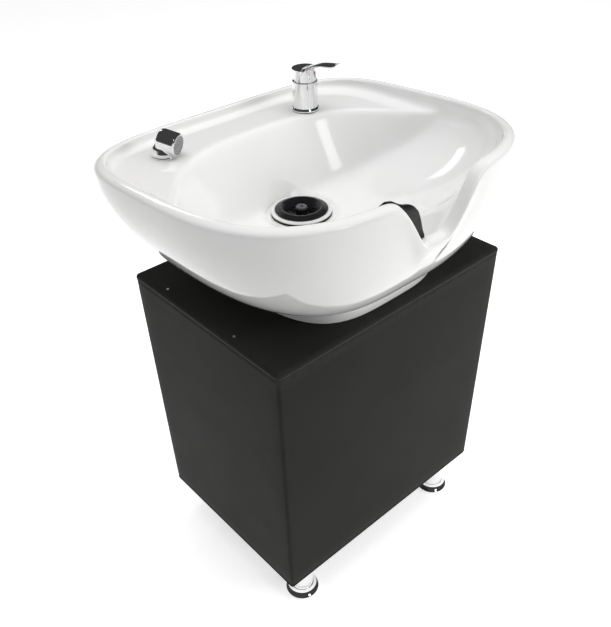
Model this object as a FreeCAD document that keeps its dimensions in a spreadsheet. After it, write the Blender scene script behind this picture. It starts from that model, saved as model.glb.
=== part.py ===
import FreeCAD, Part
import math
import os
import Sketcher

# Backwash unit: a glazed basin with a neck notch, standing on an upholstered plumbing pedestal.
# The client sits at -Y, the mixer and the pull-out spray stand on the terrace at +Y.
# Millimetres, +Z up, origin on the floor under the middle of the basin.

V = FreeCAD.Vector
doc = FreeCAD.newDocument("backwash_unit")
sheet = doc.addObject("Spreadsheet::Sheet", "Sizes")

SIZES = {
    # pedestal
    "pedestal_width": 540, "pedestal_depth": 400, "pedestal_height": 550,
    "board": 16, "cover": 6, "cover_corner": 9, "cover_edge": 4.5, "batten": 28,
    "hatch_width": 380, "hatch_sill": 130, "hatch_drop": 90, "pipe_hole": 100, "pipe_hole_back": 36,
    "tack_radius": 2.6, "tack_pin": 0.7, "tack_length": 14, "tack_inset": 14, "tack_pitch": 190,
    # feet
    "foot_height": 100, "tube_radius": 24, "tube_wall": 2, "flare_radius": 35, "flare_height": 21,
    "flare_edge": 3, "foot_inset_x": 60, "foot_inset_back_x": 87,
    "foot_inset_front": 42, "foot_inset_back": 84,
    "plate_radius": 32, "plate_thick": 3, "plate_screw_ring": 27.5, "screw_radius": 1.8,
    "screw_length": 14, "screw_head": 3.4, "screw_head_thick": 1.6, "glide_thick": 3, "glide_radius": 31,
    # basin outline and heights, counted from the top of the pedestal
    "basin_half_width": 315, "basin_back_reach": 242, "basin_front_reach": 312.5, "drain_back": 46,
    "ring_half_width": 172, "ring_back_reach": 108, "ring_front_reach": 226, "ring_height": 26,
    "ring_step": 3, "rim_back_height": 209, "rim_front_height": 236, "roll_height": 10,
    "roll_width": 16, "rim_edge": 5, "floor_height": 82, "recess_radius": 74, "recess_seat": 60,
    "recess_depth": 4, "drain_bore": 45, "china": 14, "void_gap": 6, "void_start": 30,
    "notch_depth": 86, "notch_half_width": 128, "notch_flat": 17, "notch_lip": 9, "notch_lip_drop": 24,
    "terrace_height": 195, "terrace_front": 168, "terrace_sweep": 80, "terrace_half": 219,
    "terrace_edge": 3.5, "terrace_blend": 9, "tap_boss": 2,
    # neck rest
    "rest_thick": 16, "rest_drop": 22, "rest_rise": 45, "fit_gap": 0.3,
    # waste
    "gasket_thick": 4.5, "flange_radius": 55, "flange_thick": 3, "cup_radius": 44.2, "cup_wall": 2.6,
    "cup_depth": 62, "tail_radius": 20, "tail_wall": 2.5, "tail_end": 100, "waste_nut_radius": 58,
    "waste_nut_height": 14, "waste_washer": 3, "basket_rim_radius": 48, "basket_rim_height": 5.5,
    "basket_rim_edge": 1.5, "basket_mouth": 35, "basket_bevel": 10, "basket_cup_radius": 39,
    "basket_cup_wall": 2.5, "basket_cup_depth": 13, "knob_radius": 11.3, "knob_cap_radius": 10,
    "knob_cap_thick": 4, "knob_bore": 2.5, "knob_drop": 1, "slot_width": 4.4, "slot_pitch": 6,
    "slot_start": 14, "slot_end": 32,
    "bottle_radius": 36, "bottle_height": 105, "bottle_wall": 3, "outlet_radius": 20, "outlet_wall": 2.5,
    "outlet_stub": 25, "trap_nut_radius": 30, "trap_nut_height": 24, "outlet_drop": 45,
    "relief_depth": 0.8, "relief_width": 3,
    # mixer
    "mixer_x": 136, "mixer_back": 181.5, "base_ring_radius": 26.5, "base_ring_height": 6,
    "body_radius": 23.8, "body_height": 53, "body_wall": 3, "deck_gasket": 1, "cartridge_radius": 17,
    "cartridge_height": 30, "cap_nut_height": 8, "cap_nut_lip": 2.7, "stem_side": 4.5, "stem_length": 16,
    "dome_radius": 21.9, "lever_radius": 24.1, "lever_wall": 1.6, "lever_roof": 3.5, "lever_top": 75,
    "lever_reach": 70, "lever_pivot": 66, "trunnion_radius": 1.6, "trunnion_reach": 23.3,
    "lever_skirt_gap": 0.8, "lever_width": 38, "lever_thick": 6, "lever_rise": 35.3,
    "arch_centre": 26, "arch_reach": 25, "arch_height": 26.5, "dot_radius": 2.6, "dot_height": 68.5,
    "dot_thick": 1.2, "shank_radius": 15.5, "shank_wall": 2, "shank_length": 52, "shank_hole": 17.5,
    "deck_nut_radius": 25, "deck_nut_height": 12, "deck_washer": 3,
    # hand spray
    "spray_x": -173, "spray_back": 192, "seat_ring_radius": 19, "seat_ring_height": 2,
    "seat_tube_radius": 15.5, "seat_bore": 11.4, "seat_length": 46, "neck_lip_radius": 24.2,
    "neck_lip_height": 2.5, "neck_radius": 23.3, "head_radius": 20, "head_centre": 26,
    "head_reach": 29, "head_back": 10, "head_bevel": 2.5, "face_radius": 16,
    "face_depth": 2, "plug_radius": 11, "plug_length": 30, "spray_tail": 46,
    # hoses and inlets
    "hose_radius": 5.5, "inlet_radius": 10.5, "inlet_bore": 7,
    "inlet_stub": 22, "inlet_height": 75, "inlet_first_x": 60, "inlet_second_x": 112,
    "inlet_collar_radius": 15, "inlet_collar_thick": 6, "inlet_ring_thick": 3,
    "running_gap": 0.05, "overrun": 5,
}
for row, (alias, value) in enumerate(SIZES.items(), start=1):
    sheet.set("A%d" % row, alias)
    sheet.set("B%d" % row, str(value))
    sheet.setAlias("B%d" % row, alias)
doc.recompute()


class Sheet:
    """Reads a driving dimension from the sheet by its alias."""

    def __getattr__(self, alias):
        return float(sheet.get(alias))


s = Sheet()
NODES = []

# angles in degrees and shape exponents of the glazed basin
BACK_ROUNDNESS, FRONT_ROUNDNESS = 4.1, 3.1
RING_BACK_ROUNDNESS, RING_FRONT_ROUNDNESS = 2.5, 3.5
WALL_ACROSS, WALL_DOWN = 1.69, 2.06
BOWL_ACROSS, BOWL_DOWN = 1.75, 1.75
TERRACE_SLOPE = 1.7
CHINA_ACROSS_SHARE = 0.7
FULL_SHARE = 40
FINE_STEPS, BOWL_STEPS, UNDER_STEPS = 240, 64, 40
WALL_STEPS, LIP_STEPS, EDGE_STEPS, SEARCH_STEPS = 15, 4, 3, 40
NOTCH_POWER = 2
TERRACE_POWER = 3
HANDLE_TURN = -73.7
LEVER_LIFT, LIFT_SPARE = 20, 1.5
SPRAY_TURN = -64
SPRAY_DIP = 11
SCREWS_PER_PLATE = 3
SLOT_GROUPS = 4

box_top = s.foot_height + s.pedestal_height
drain_y = (s.basin_front_reach - s.basin_back_reach) / 2
mid_y = drain_y - s.drain_back
deck_z = box_top + s.terrace_height
deck_on = deck_z + s.running_gap
floor_z = box_top + s.floor_height
seat_z = floor_z - s.recess_depth
half_w = s.pedestal_width / 2
half_d = s.pedestal_depth / 2
mx, my = s.mixer_x, mid_y + s.mixer_back
px, py = s.spray_x, mid_y + s.spray_back


def keep(obj):
    """Marks an object as a finished sub-part, named by its own label."""
    NODES.append(obj)
    return obj


def put(obj, x=0.0, y=0.0, z=0.0, turn=None):
    obj.Placement = FreeCAD.Placement(V(x, y, z), turn or FreeCAD.Rotation())
    return obj


def box(name, length, width, height, x, y, z):
    """A box whose three sizes are expressions, placed by its low corner."""
    obj = doc.addObject("Part::Box", name)
    obj.setExpression("Length", length)
    obj.setExpression("Width", width)
    obj.setExpression("Height", height)
    return put(obj, x, y, z)


def rod(name, radius, height, x, y, z, turn=None):
    obj = doc.addObject("Part::Cylinder", name)
    obj.setExpression("Radius", radius)
    obj.setExpression("Height", height)
    return put(obj, x, y, z, turn)


def cut(name, base, tool):
    obj = doc.addObject("Part::Cut", name)
    obj.Base, obj.Tool = base, tool
    return obj


def fuse(name, parts):
    obj = doc.addObject("Part::MultiFuse", name)
    obj.Shapes = parts
    return obj


def group(name, parts):
    """Several separate solids of one kind in one node."""
    obj = doc.addObject("Part::Compound", name)
    obj.Links = parts
    return obj


def shape(name, solid, x=0.0, y=0.0, z=0.0, turn=None):
    obj = doc.addObject("Part::Feature", name)
    obj.Shape = solid
    return put(obj, x, y, z, turn)


def turned(name, corners, x, y, z, turn=None):
    """A turned piece: a body whose sketch has one corner per (radius, height) pair of expressions."""
    body = doc.addObject("PartDesign::Body", name)
    sketch = body.newObject("Sketcher::SketchObject", name + "_profile")
    plane = [f for f in body.Origin.OriginFeatures if f.Role == "XZ_Plane"][0]
    sketch.AttachmentSupport = (plane, "")
    sketch.MapMode = "FlatFace"
    probe = doc.addObject("App::FeaturePython", name + "_probe")
    probe.addProperty("App::PropertyFloat", "reading")
    points = []
    for radius, height in corners:
        pair = []
        for text in (radius, height):
            probe.setExpression("reading", text)
            probe.recompute()
            pair.append(probe.reading)
        points.append(V(pair[0], pair[1], 0))
    probe.setExpression("reading", None)
    doc.removeObject(probe.Name)
    count = len(points)
    for i in range(count):
        sketch.addGeometry(Part.LineSegment(points[i], points[(i + 1) % count]), False)
    for i in range(count):
        sketch.addConstraint(Sketcher.Constraint("Coincident", i, 2, (i + 1) % count, 1))
    for i, (radius, height) in enumerate(corners):
        for kind, text, reading, axis in (("DistanceX", radius, points[i].x, -2),
                                          ("DistanceY", height, points[i].y, -1)):
            if text == "0":
                sketch.addConstraint(Sketcher.Constraint("PointOnObject", i, 1, axis))
                continue
            at = sketch.addConstraint(Sketcher.Constraint(kind, -1, 1, i, 1, reading))
            sketch.setExpression("Constraints[%d]" % at, text)
    spin = body.newObject("PartDesign::Revolution", name + "_turned")
    spin.Profile = sketch
    spin.ReferenceAxis = (sketch, ["V_Axis"])
    spin.Angle = 360
    body.Tip = spin
    return put(body, x, y, z, turn)


def part_of(size, share):
    """The expression for a share of a size."""
    return "(%s) * %g" % (size, share) if share else "0"


def ring(name, outer, inner, height, x, y, z):
    """A flat ring, washer or short tube."""
    return turned(name, [(inner, "0"), (outer, "0"), (outer, height), (inner, height)], x, y, z)


def hose(name, points, radius):
    """A tube along straight runs joined by tangent arcs as large as the runs allow."""
    points = [V(*p) for p in points]
    edges = []
    start = points[0]
    least = None
    arc_share = 0.45
    for i in range(1, len(points) - 1):
        before, here, after = points[i - 1], points[i], points[i + 1]
        run_in, run_out = here - before, after - here
        half_turn = run_in.getAngle(run_out) / 2
        reach = arc_share * min(run_in.Length, run_out.Length)
        bend = reach / math.tan(half_turn)
        least = bend if least is None else min(least, bend)
        a = here - V(run_in).normalize() * reach
        b = here + V(run_out).normalize() * reach
        across = (V(run_out).normalize() - V(run_in).normalize()).normalize()
        middle = here + across * (bend / math.cos(half_turn) - bend)
        edges.append(Part.LineSegment(start, a).toShape())
        edges.append(Part.Arc(a, middle, b).toShape())
        start = b
    edges.append(Part.LineSegment(start, points[-1]).toShape())
    path = Part.Wire(edges)
    way = points[1] - points[0]
    circle = Part.Wire(Part.makeCircle(radius, points[0], way))
    tube = path.makePipeShell([circle], True, False, 1)
    ideal = math.pi * radius ** 2 * path.Length
    print("%s: %.0f mm long, tightest arc %.0f mm, volume ratio %.4f"
          % (name, path.Length, least, tube.Volume / ideal))
    return shape(name, tube)


# pedestal carcass

inner_w = "Sizes.pedestal_width - 2 * Sizes.cover"
inner_d = "Sizes.pedestal_depth - 2 * Sizes.cover"
low = s.foot_height
carcass_x = -half_w + s.cover
carcass_y = mid_y - half_d + s.cover
carcass_h = "Sizes.pedestal_height - 2 * Sizes.board - Sizes.cover"

bottom_board = box("bottom_board", inner_w, inner_d, "Sizes.board", carcass_x, carcass_y, low)
top_board = box("top_board", inner_w, inner_d, "Sizes.board", carcass_x, carcass_y,
                box_top - s.cover - s.board)
pipe_hole = rod("pipe_hole_cut", "Sizes.pipe_hole", "Sizes.board + 2 * Sizes.overrun",
                0, mid_y + s.pipe_hole_back, box_top - s.cover - s.board - s.overrun)
tack_shares = (-0.4, 0.6)
tack_places = [(side * (half_w - s.tack_inset), mid_y + share * s.tack_pitch)
               for side in (-1, 1) for share in tack_shares]


def tack_pins(owner):
    """The pins of the tacks, once in the tacks and once for each board that they go through."""
    return [rod("%s_pin_%d" % (owner, i), "Sizes.tack_pin", "Sizes.tack_length", x, y,
                box_top - s.tack_length) for i, (x, y) in enumerate(tack_places)]


keep(cut("top_panel", top_board, fuse("top_cuts", [pipe_hole] + tack_pins("board"))))
keep(box("side_panel_left", "Sizes.board", inner_d, carcass_h, carcass_x, carcass_y, low + s.board))
keep(box("side_panel_right", "Sizes.board", inner_d, carcass_h, half_w - s.cover - s.board, carcass_y,
         low + s.board))
between = "Sizes.pedestal_width - 2 * Sizes.cover - 2 * Sizes.board"
keep(box("front_panel", between, "Sizes.board", carcass_h, carcass_x + s.board, carcass_y,
         low + s.board))
back_y = mid_y + half_d - s.cover - s.board
back_board = box("back_board", between, "Sizes.board", carcass_h, carcass_x + s.board, back_y,
                 low + s.board)
hatch_z = low + s.hatch_sill
hatch_h = "Sizes.pedestal_height - Sizes.hatch_sill - Sizes.hatch_drop"
hatch = box("hatch_cut", "Sizes.hatch_width", "Sizes.board + 2 * Sizes.overrun", hatch_h,
            -s.hatch_width / 2, back_y - s.overrun, hatch_z)
inlet_places = (s.inlet_first_x, s.inlet_second_x)
inlet_z = low + s.inlet_height
along_y = FreeCAD.Rotation(V(1, 0, 0), -90)
inlet_cuts = [rod("inlet_cut_%d" % i, "Sizes.inlet_radius", "Sizes.board + 2 * Sizes.overrun",
                  x, back_y - s.overrun, inlet_z, along_y) for i, x in enumerate(inlet_places)]
keep(cut("back_panel", back_board, fuse("back_cuts", [hatch] + inlet_cuts)))

batten_x = carcass_x + s.board
batten_y = (carcass_y + s.board, back_y - s.batten)
keep(group("corner_battens", [
    box("batten_%d%d" % (i, j), "Sizes.batten", "Sizes.batten", carcass_h,
        x, y, low + s.board)
    for i, x in enumerate((batten_x, -batten_x - s.batten)) for j, y in enumerate(batten_y)]))

# leatherette cover: one wrap round the four walls and one lid over the top

outer_wrap = box("wrap_outside", "Sizes.pedestal_width", "Sizes.pedestal_depth",
                 "Sizes.pedestal_height - Sizes.cover", -half_w, mid_y - half_d, low)
inner_wrap = box("wrap_inside", inner_w, inner_d, "Sizes.pedestal_height + 2 * Sizes.overrun",
                 carcass_x, carcass_y, low - s.overrun)
doc.recompute()
round_wrap = doc.addObject("Part::Fillet", "wrap_rounded")
round_wrap.Base = outer_wrap
corner = s.cover_corner
round_wrap.Edges = [(i + 1, corner, corner) for i, edge in enumerate(outer_wrap.Shape.Edges)
                    if abs(edge.tangentAt(edge.FirstParameter).z) > 0.99]
wall_skin = cut("wrap_skin", round_wrap, inner_wrap)
skin_cuts = [box("hatch_skin_cut", "Sizes.hatch_width", "Sizes.cover + 2 * Sizes.overrun",
                 hatch_h, -s.hatch_width / 2, back_y + s.board - s.overrun, hatch_z)]
skin_cuts += [rod("inlet_skin_cut_%d" % i, "Sizes.inlet_radius", "Sizes.cover + 2 * Sizes.overrun",
                  x, back_y + s.board - s.overrun, inlet_z, along_y) for i, x in enumerate(inlet_places)]
keep(cut("cover_wrap", wall_skin, fuse("skin_cuts", skin_cuts)))

lid_block = box("lid_block", "Sizes.pedestal_width", "Sizes.pedestal_depth", "Sizes.cover",
                -half_w, mid_y - half_d, box_top - s.cover)
doc.recompute()
lid_round = doc.addObject("Part::Fillet", "lid_rounded")
lid_round.Base = lid_block
lid_round.Edges = [(i + 1, corner, corner) for i, edge in enumerate(lid_block.Shape.Edges)
                   if abs(edge.tangentAt(edge.FirstParameter).z) > 0.99]
doc.recompute()
lid_soft = doc.addObject("Part::Fillet", "lid_softened")
lid_soft.Base = lid_round
lid_soft.Edges = [(i + 1, s.cover_edge, s.cover_edge) for i, edge in enumerate(lid_round.Shape.Edges)
                  if edge.BoundBox.ZMin > box_top - s.cover / 2]
lid_hole = rod("lid_hole_cut", "Sizes.pipe_hole", "Sizes.cover + 2 * Sizes.overrun",
               0, mid_y + s.pipe_hole_back, box_top - s.cover - s.overrun)
keep(cut("cover_lid", lid_soft, fuse("lid_cuts", [lid_hole] + tack_pins("lid"))))


def tack(index, pin, x, y):
    """A domed head on its pin."""
    head = doc.addObject("Part::Sphere", "tack_head_%d" % index)
    head.setExpression("Radius", "Sizes.tack_radius")
    head.Angle1 = 0
    put(head, x, y, box_top)
    return fuse("tack_%d" % index, [head, pin])


keep(group("cover_tacks", [tack(i, pin, *tack_places[i]) for i, pin in enumerate(tack_pins("tack"))]))

# feet: a tube, a flared base, a glide under it and a plate screwed to the bottom panel

foot_places = {
    "front_left": (-half_w + s.foot_inset_x, mid_y - half_d + s.foot_inset_front),
    "front_right": (half_w - s.foot_inset_x, mid_y - half_d + s.foot_inset_front),
    "back_left": (-half_w + s.foot_inset_back_x, mid_y + half_d - s.foot_inset_back),
    "back_right": (half_w - s.foot_inset_back_x, mid_y + half_d - s.foot_inset_back),
}
flare_across_shares, flare_up_shares = (0.93, 0.77, 0.7), (0.3, 0.72, 1)
plates, glides, foot_screws, pilot_holes = [], [], [], []
for place, (x, y) in foot_places.items():
    keep(ring("foot_tube_" + place, "Sizes.tube_radius", "Sizes.tube_radius - Sizes.tube_wall",
              "Sizes.foot_height - Sizes.plate_thick - Sizes.flare_height",
              x, y, s.flare_height))
    rise = "Sizes.flare_height - Sizes.glide_thick"
    flare = [(part_of("Sizes.flare_radius", across), "Sizes.flare_edge + " + part_of(
        "%s - Sizes.flare_edge" % rise, up)) for across, up in zip(flare_across_shares, flare_up_shares)]
    keep(turned("foot_base_" + place, [
        ("0", "0"), ("Sizes.flare_radius", "0"), ("Sizes.flare_radius", "Sizes.flare_edge")]
        + flare + [("0", rise)], x, y, s.glide_thick))
    glides.append(rod("glide_" + place, "Sizes.glide_radius", "Sizes.glide_thick", x, y, 0))
    disc = rod("plate_disc_" + place, "Sizes.plate_radius", "Sizes.plate_thick",
               x, y, low - s.plate_thick)
    holes = []
    for step in range(SCREWS_PER_PLATE):
        angle = 2 * math.pi * step / SCREWS_PER_PLATE + math.pi / 2
        sx = x + s.plate_screw_ring * math.cos(angle)
        sy = y + s.plate_screw_ring * math.sin(angle)
        holes.append(rod("plate_hole_%s_%d" % (place, step), "Sizes.screw_radius",
                         "Sizes.plate_thick + 2 * Sizes.overrun", sx, sy,
                         low - s.plate_thick - s.overrun))
        shaft, pilot = [
            rod("%s_%s_%d" % (word, place, step), "Sizes.screw_radius", "Sizes.screw_length",
                sx, sy, low - s.plate_thick) for word in ("screw_shaft", "pilot_hole")]
        pilot_holes.append(pilot)
        head = rod("screw_head_%s_%d" % (place, step), "Sizes.screw_head", "Sizes.screw_head_thick",
                   sx, sy, low - s.plate_thick - s.screw_head_thick)
        foot_screws.append(fuse("foot_screw_%s_%d" % (place, step), [shaft, head]))
    plates.append(cut("plate_" + place, disc, fuse("plate_holes_" + place, holes)))
keep(cut("bottom_panel", bottom_board, fuse("pilot_holes", pilot_holes)))
keep(group("foot_plates", plates))
keep(group("floor_glides", glides))
keep(group("foot_screws", foot_screws))

# glazed basin: radial wall sections round the drain, lofted over one half and mirrored


def oval_reach(angle, half, back, front, back_power, front_power):
    """Distance from the drain axis to a rounded outline in one direction."""
    c, n = abs(math.cos(angle)), math.sin(angle)
    reach, power = (back, back_power) if n >= 0 else (front, front_power)
    return ((c / half) ** power + (abs(n) / reach) ** power) ** (-1 / power)


def rim_height_at(y):
    """The rim climbs steadily from the back of the basin to its front."""
    share = (drain_y + s.basin_back_reach - y) / (s.basin_back_reach + s.basin_front_reach)
    return s.rim_back_height + (s.rim_front_height - s.rim_back_height) * share


def notch_share(x):
    """1 at the bottom of the neck notch, 0 at its lips and beyond."""
    side = (abs(x) - s.notch_flat) / (s.notch_half_width - s.notch_flat)
    side = min(max(side, 0.0), 1.0)
    return (0.5 * (1 + math.cos(math.pi * side))) ** NOTCH_POWER


def eased(height, blend):
    """The height where it is above zero, and zero below, with a soft change of this size between."""
    share = height / blend
    return height if share > FULL_SHARE else blend * math.log(1 + math.exp(share))


def evenly(pairs, count):
    """The same line with its points at even steps along it."""
    run = [0.0]
    for a, b in zip(pairs, pairs[1:]):
        run.append(run[-1] + math.dist(a, b))
    found = []
    at = 0
    for i in range(count):
        want = run[-1] * i / (count - 1)
        while at < len(run) - 2 and run[at + 1] < want:
            at += 1
        share = (want - run[at]) / (run[at + 1] - run[at])
        found.append(tuple(a + (b - a) * share for a, b in zip(pairs[at], pairs[at + 1])))
    return found


def basin_section(angle):
    """All radii and heights that one radial cut through the basin needs."""
    reach = oval_reach(angle, s.basin_half_width, s.basin_back_reach, s.basin_front_reach,
                       BACK_ROUNDNESS, FRONT_ROUNDNESS)
    ring_reach = oval_reach(angle, s.ring_half_width, s.ring_back_reach, s.ring_front_reach,
                            RING_BACK_ROUNDNESS, RING_FRONT_ROUNDNESS)
    rim_z = box_top + rim_height_at(drain_y + reach * math.sin(angle))
    widest = rim_z - s.roll_height
    crease = box_top + s.ring_height
    dip = notch_share(reach * math.cos(angle)) if math.sin(angle) < 0 else 0.0
    crest = rim_z - dip * s.notch_depth

    def wall(z):
        share = min(max((widest - z) / (widest - crease), 0.0), 1.0)
        return ring_reach + (reach - ring_reach) * (1 - share ** WALL_DOWN) ** (1 / WALL_ACROSS)

    lip_z = crest - s.roll_height
    lip = wall(lip_z) + dip * s.notch_lip
    edge = lip - s.roll_width - s.rim_edge
    edge_z = crest - s.rim_edge

    def bowl(turn):
        """A point of the inner wall: turn 0 at the rim edge, a quarter turn at the recess."""
        rho = s.recess_radius + (edge - s.recess_radius) * math.cos(turn) ** (2 / BOWL_ACROSS)
        z = edge_z - (edge_z - floor_z) * math.sin(turn) ** (2 / BOWL_DOWN)
        x, y = rho * math.cos(angle), drain_y + rho * math.sin(angle)
        front = mid_y + s.terrace_front - s.terrace_sweep * abs(x / s.terrace_half) ** TERRACE_POWER
        terrace = deck_z - TERRACE_SLOPE * eased(front - y, s.terrace_edge)
        return rho, terrace + eased(z - terrace, s.terrace_blend)

    return dict(angle=angle, ring=ring_reach, crease=crease, wall=wall, lip=lip, lip_z=lip_z, dip=dip,
                edge=edge, edge_z=edge_z, crest=crest, bowl=bowl)


def spot(angle, rho, z):
    return V(rho * math.cos(angle), drain_y + rho * math.sin(angle), z)


def spline(angle, pairs):
    curve = Part.BSplineCurve()
    steps = [i / (len(pairs) - 1) for i in range(len(pairs))]
    curve.interpolate(Points=[spot(angle, rho, z) for rho, z in pairs], Parameters=steps)
    return curve.toShape()


def line(angle, a, b):
    return Part.LineSegment(spot(angle, *a), spot(angle, *b)).toShape()


def quarter(a, b, count, up_first):
    """Points of a quarter ellipse from a to b, the first and last left out."""
    found = []
    for i in range(1, count):
        t = math.pi / 2 * i / count
        across, along = (1 - math.cos(t), math.sin(t)) if up_first else (math.sin(t), 1 - math.cos(t))
        found.append((a[0] + (b[0] - a[0]) * across, a[1] + (b[1] - a[1]) * along))
    return found


def body_wire(angle):
    """Closed section of the whole basin, hollow still filled."""
    c = basin_section(angle)
    bore = s.drain_bore - s.overrun
    foot = (c["ring"], c["crease"])
    wall = []
    for i in range(WALL_STEPS):
        z = c["crease"] + (c["lip_z"] - c["crease"]) * math.sin(math.pi / 2 * i / (WALL_STEPS - 1))
        blend = math.exp(-((c["lip_z"] - z) / s.notch_lip_drop) ** 2)
        wall.append((c["wall"](z) + c["dip"] * s.notch_lip * blend, z))
    wall[0] = (c["ring"] + s.ring_step, c["crease"])
    crest_at = (c["lip"] - s.roll_width, c["crest"])
    edge_at = (c["edge"], c["edge_z"])
    outside = wall + quarter(wall[-1], crest_at, LIP_STEPS, True) + [crest_at]
    inside = [crest_at] + quarter(crest_at, edge_at, EDGE_STEPS, False)
    inside += [c["bowl"](math.pi / 2 * i / FINE_STEPS) for i in range(FINE_STEPS + 1)]
    inside = evenly(inside, BOWL_STEPS)
    seat_edge = (s.recess_seat, seat_z)
    under = (bore, box_top)
    return Part.Wire([
        line(angle, under, (c["ring"], box_top)), line(angle, (c["ring"], box_top), foot),
        line(angle, foot, wall[0]), spline(angle, outside), spline(angle, inside),
        line(angle, inside[-1], seat_edge), line(angle, seat_edge, (bore, seat_z)),
        line(angle, (bore, seat_z), under)])


def hollow_wire(angle):
    """Closed section of the hollow under the bowl, between it and the outer wall."""
    c = basin_section(angle)

    def under(turn):
        rho, z = c["bowl"](turn)
        return rho + s.china * CHINA_ACROSS_SHARE, z - s.china
    high, lowest = 0.0, math.pi / 2
    for _ in range(SEARCH_STEPS):
        middle = (high + lowest) / 2
        rho, z = under(middle)
        if c["wall"](z) - s.china - rho < s.void_gap:
            high = middle
        else:
            lowest = middle
    inner = evenly([under(lowest + (math.pi / 2 - lowest) * (1 - i / FINE_STEPS))
                    for i in range(FINE_STEPS + 1)], UNDER_STEPS)
    top = inner[-1][1]
    start = (s.void_start, inner[0][1] - s.recess_depth)
    outer = []
    for i in range(WALL_STEPS):
        z = top + (c["crease"] + s.china / 2 - top) * i / (WALL_STEPS - 1)
        outer.append((c["wall"](z) - s.china, z))
    low_in, low_out = (s.void_start, box_top - s.overrun), (c["ring"] - s.china, box_top - s.overrun)
    outer[-1] = (c["ring"] - s.china, outer[-1][1])
    return Part.Wire([
        line(angle, low_in, start), line(angle, start, inner[0]), spline(angle, inner),
        line(angle, inner[-1], outer[0]), spline(angle, outer), line(angle, outer[-1], low_out),
        line(angle, low_out, low_in)])


section_angles = [math.radians(a) for a in
                  [90, 80, 70, 61, 54, 48, 42, 36, 30, 22, 12, 0, -12, -22, -32, -41, -48, -54, -59, -63,
                   -66, -69, -72, -75, -78, -81, -84, -87, -90]]


def whole(wires):
    half = Part.makeLoft(wires, True, False)
    other = half.mirror(V(0, 0, 0), V(1, 0, 0))
    return half.fuse(other)


basin_block = whole([body_wire(a) for a in section_angles])
hollow_block = whole([hollow_wire(a) for a in section_angles])
basin = basin_block.cut(hollow_block)
deck_under = deck_z - s.china - s.tap_boss
for x, y in ((mx, my), (px, py)):
    basin = basin.cut(Part.makeCylinder(s.deck_nut_radius + s.tap_boss, s.shank_length,
                                        V(x, y, deck_under - s.shank_length)))
    basin = basin.fuse(Part.makeCylinder(s.deck_nut_radius + s.tap_boss / 2, s.tap_boss + s.china / 2,
                                         V(x, y, deck_under)))
    basin = basin.cut(Part.makeCylinder(s.shank_hole, s.china + s.tap_boss + 2 * s.overrun,
                                        V(x, y, deck_under - s.overrun)))
basin = basin.cut(Part.makeCylinder(s.drain_bore, s.rim_front_height, V(0, drain_y, box_top - s.overrun)))
keep(shape("basin_bowl", basin))

# neck rest: a soft pad on the inner face of the notch's left flank, standing up over its crest

rest_angles = [math.radians(a) for a in
               (-111, -108.5, -106, -103.5, -101.5, -100, -98.5, -97, -95.5, -94.2, -93, -92)]
rest_swell_shares = (0.3, 0.6, 0.85, 1, 1, 1, 1, 0.95, 0.85, 0.7, 0.5, 0.3)
rest_rise_shares = (0.03, 0.1, 0.13, 0.22, 0.43, 0.65, 0.85, 0.97, 0.97, 0.72, 0.3, 0.05)
rest_top_shares = ((0, 0.4), (0.15, 0.1), (0.4, 0), (0.7, 0.08), (0.9, 0.25), (1, 0.55))
REST_TURN_STEP = 0.02


def rest_section(angle, swell, lift):
    """One radial section of the pad: how thick it is and how far it stands over the crest."""
    c = basin_section(angle)
    turn = 0.0
    while c["bowl"](turn)[1] > c["edge_z"] - s.rest_drop * swell:
        turn += REST_TURN_STEP
    thick = s.rest_thick * swell
    face = c["edge"] - s.fit_gap
    top = c["crest"] + s.rest_rise * lift
    points = [(face, c["edge_z"])]
    points += [(face - thick * inwards, top - thick * below) for inwards, below in rest_top_shares]
    foot_rho, foot_z = c["bowl"](turn)
    points.append((foot_rho - s.fit_gap - thick / 2, foot_z + s.fit_gap))
    points.append((foot_rho - s.fit_gap, foot_z + s.fit_gap))
    spots = [spot(angle, *p) for p in points]
    return Part.makePolygon(spots + [spots[0]])


rest = Part.makeLoft([rest_section(a, swell, lift) for a, swell, lift in
                      zip(rest_angles, rest_swell_shares, rest_rise_shares)], True, True)
keep(shape("neck_rest", rest))

# waste: gasket, white flange with its cup, strainer basket, clamp nut, bottle trap

keep(ring("waste_gasket", "Sizes.flange_radius", "Sizes.cup_radius", "Sizes.gasket_thick",
          0, drain_y, seat_z))
flange_z = seat_z + s.gasket_thick
depth = "-Sizes.cup_depth"
keep(turned("waste_flange", [
    ("Sizes.cup_radius - Sizes.cup_wall", "Sizes.flange_thick"),
    ("Sizes.flange_radius - Sizes.flange_thick / 2", "Sizes.flange_thick"),
    ("Sizes.flange_radius", "Sizes.flange_thick / 2"), ("Sizes.flange_radius", "0"),
    ("Sizes.cup_radius", "0"), ("Sizes.cup_radius", depth),
    ("Sizes.tail_radius", "%s - Sizes.cup_wall" % depth),
    ("Sizes.tail_radius", "%s - Sizes.tail_end" % depth),
    ("Sizes.tail_radius - Sizes.tail_wall", "%s - Sizes.tail_end" % depth),
    ("Sizes.tail_radius - Sizes.tail_wall", depth),
    ("Sizes.cup_radius - Sizes.cup_wall", "%s + Sizes.cup_wall" % depth)], 0, drain_y, flange_z))
under_z = floor_z - s.china - s.recess_depth
keep(ring("waste_washer", "Sizes.waste_nut_radius", "Sizes.cup_radius + Sizes.fit_gap",
          "Sizes.waste_washer", 0, drain_y, under_z - s.waste_washer))
keep(ring("waste_nut", "Sizes.waste_nut_radius", "Sizes.cup_radius + Sizes.fit_gap / 3",
          "Sizes.waste_nut_height", 0, drain_y, under_z - s.waste_washer - s.waste_nut_height))

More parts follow.
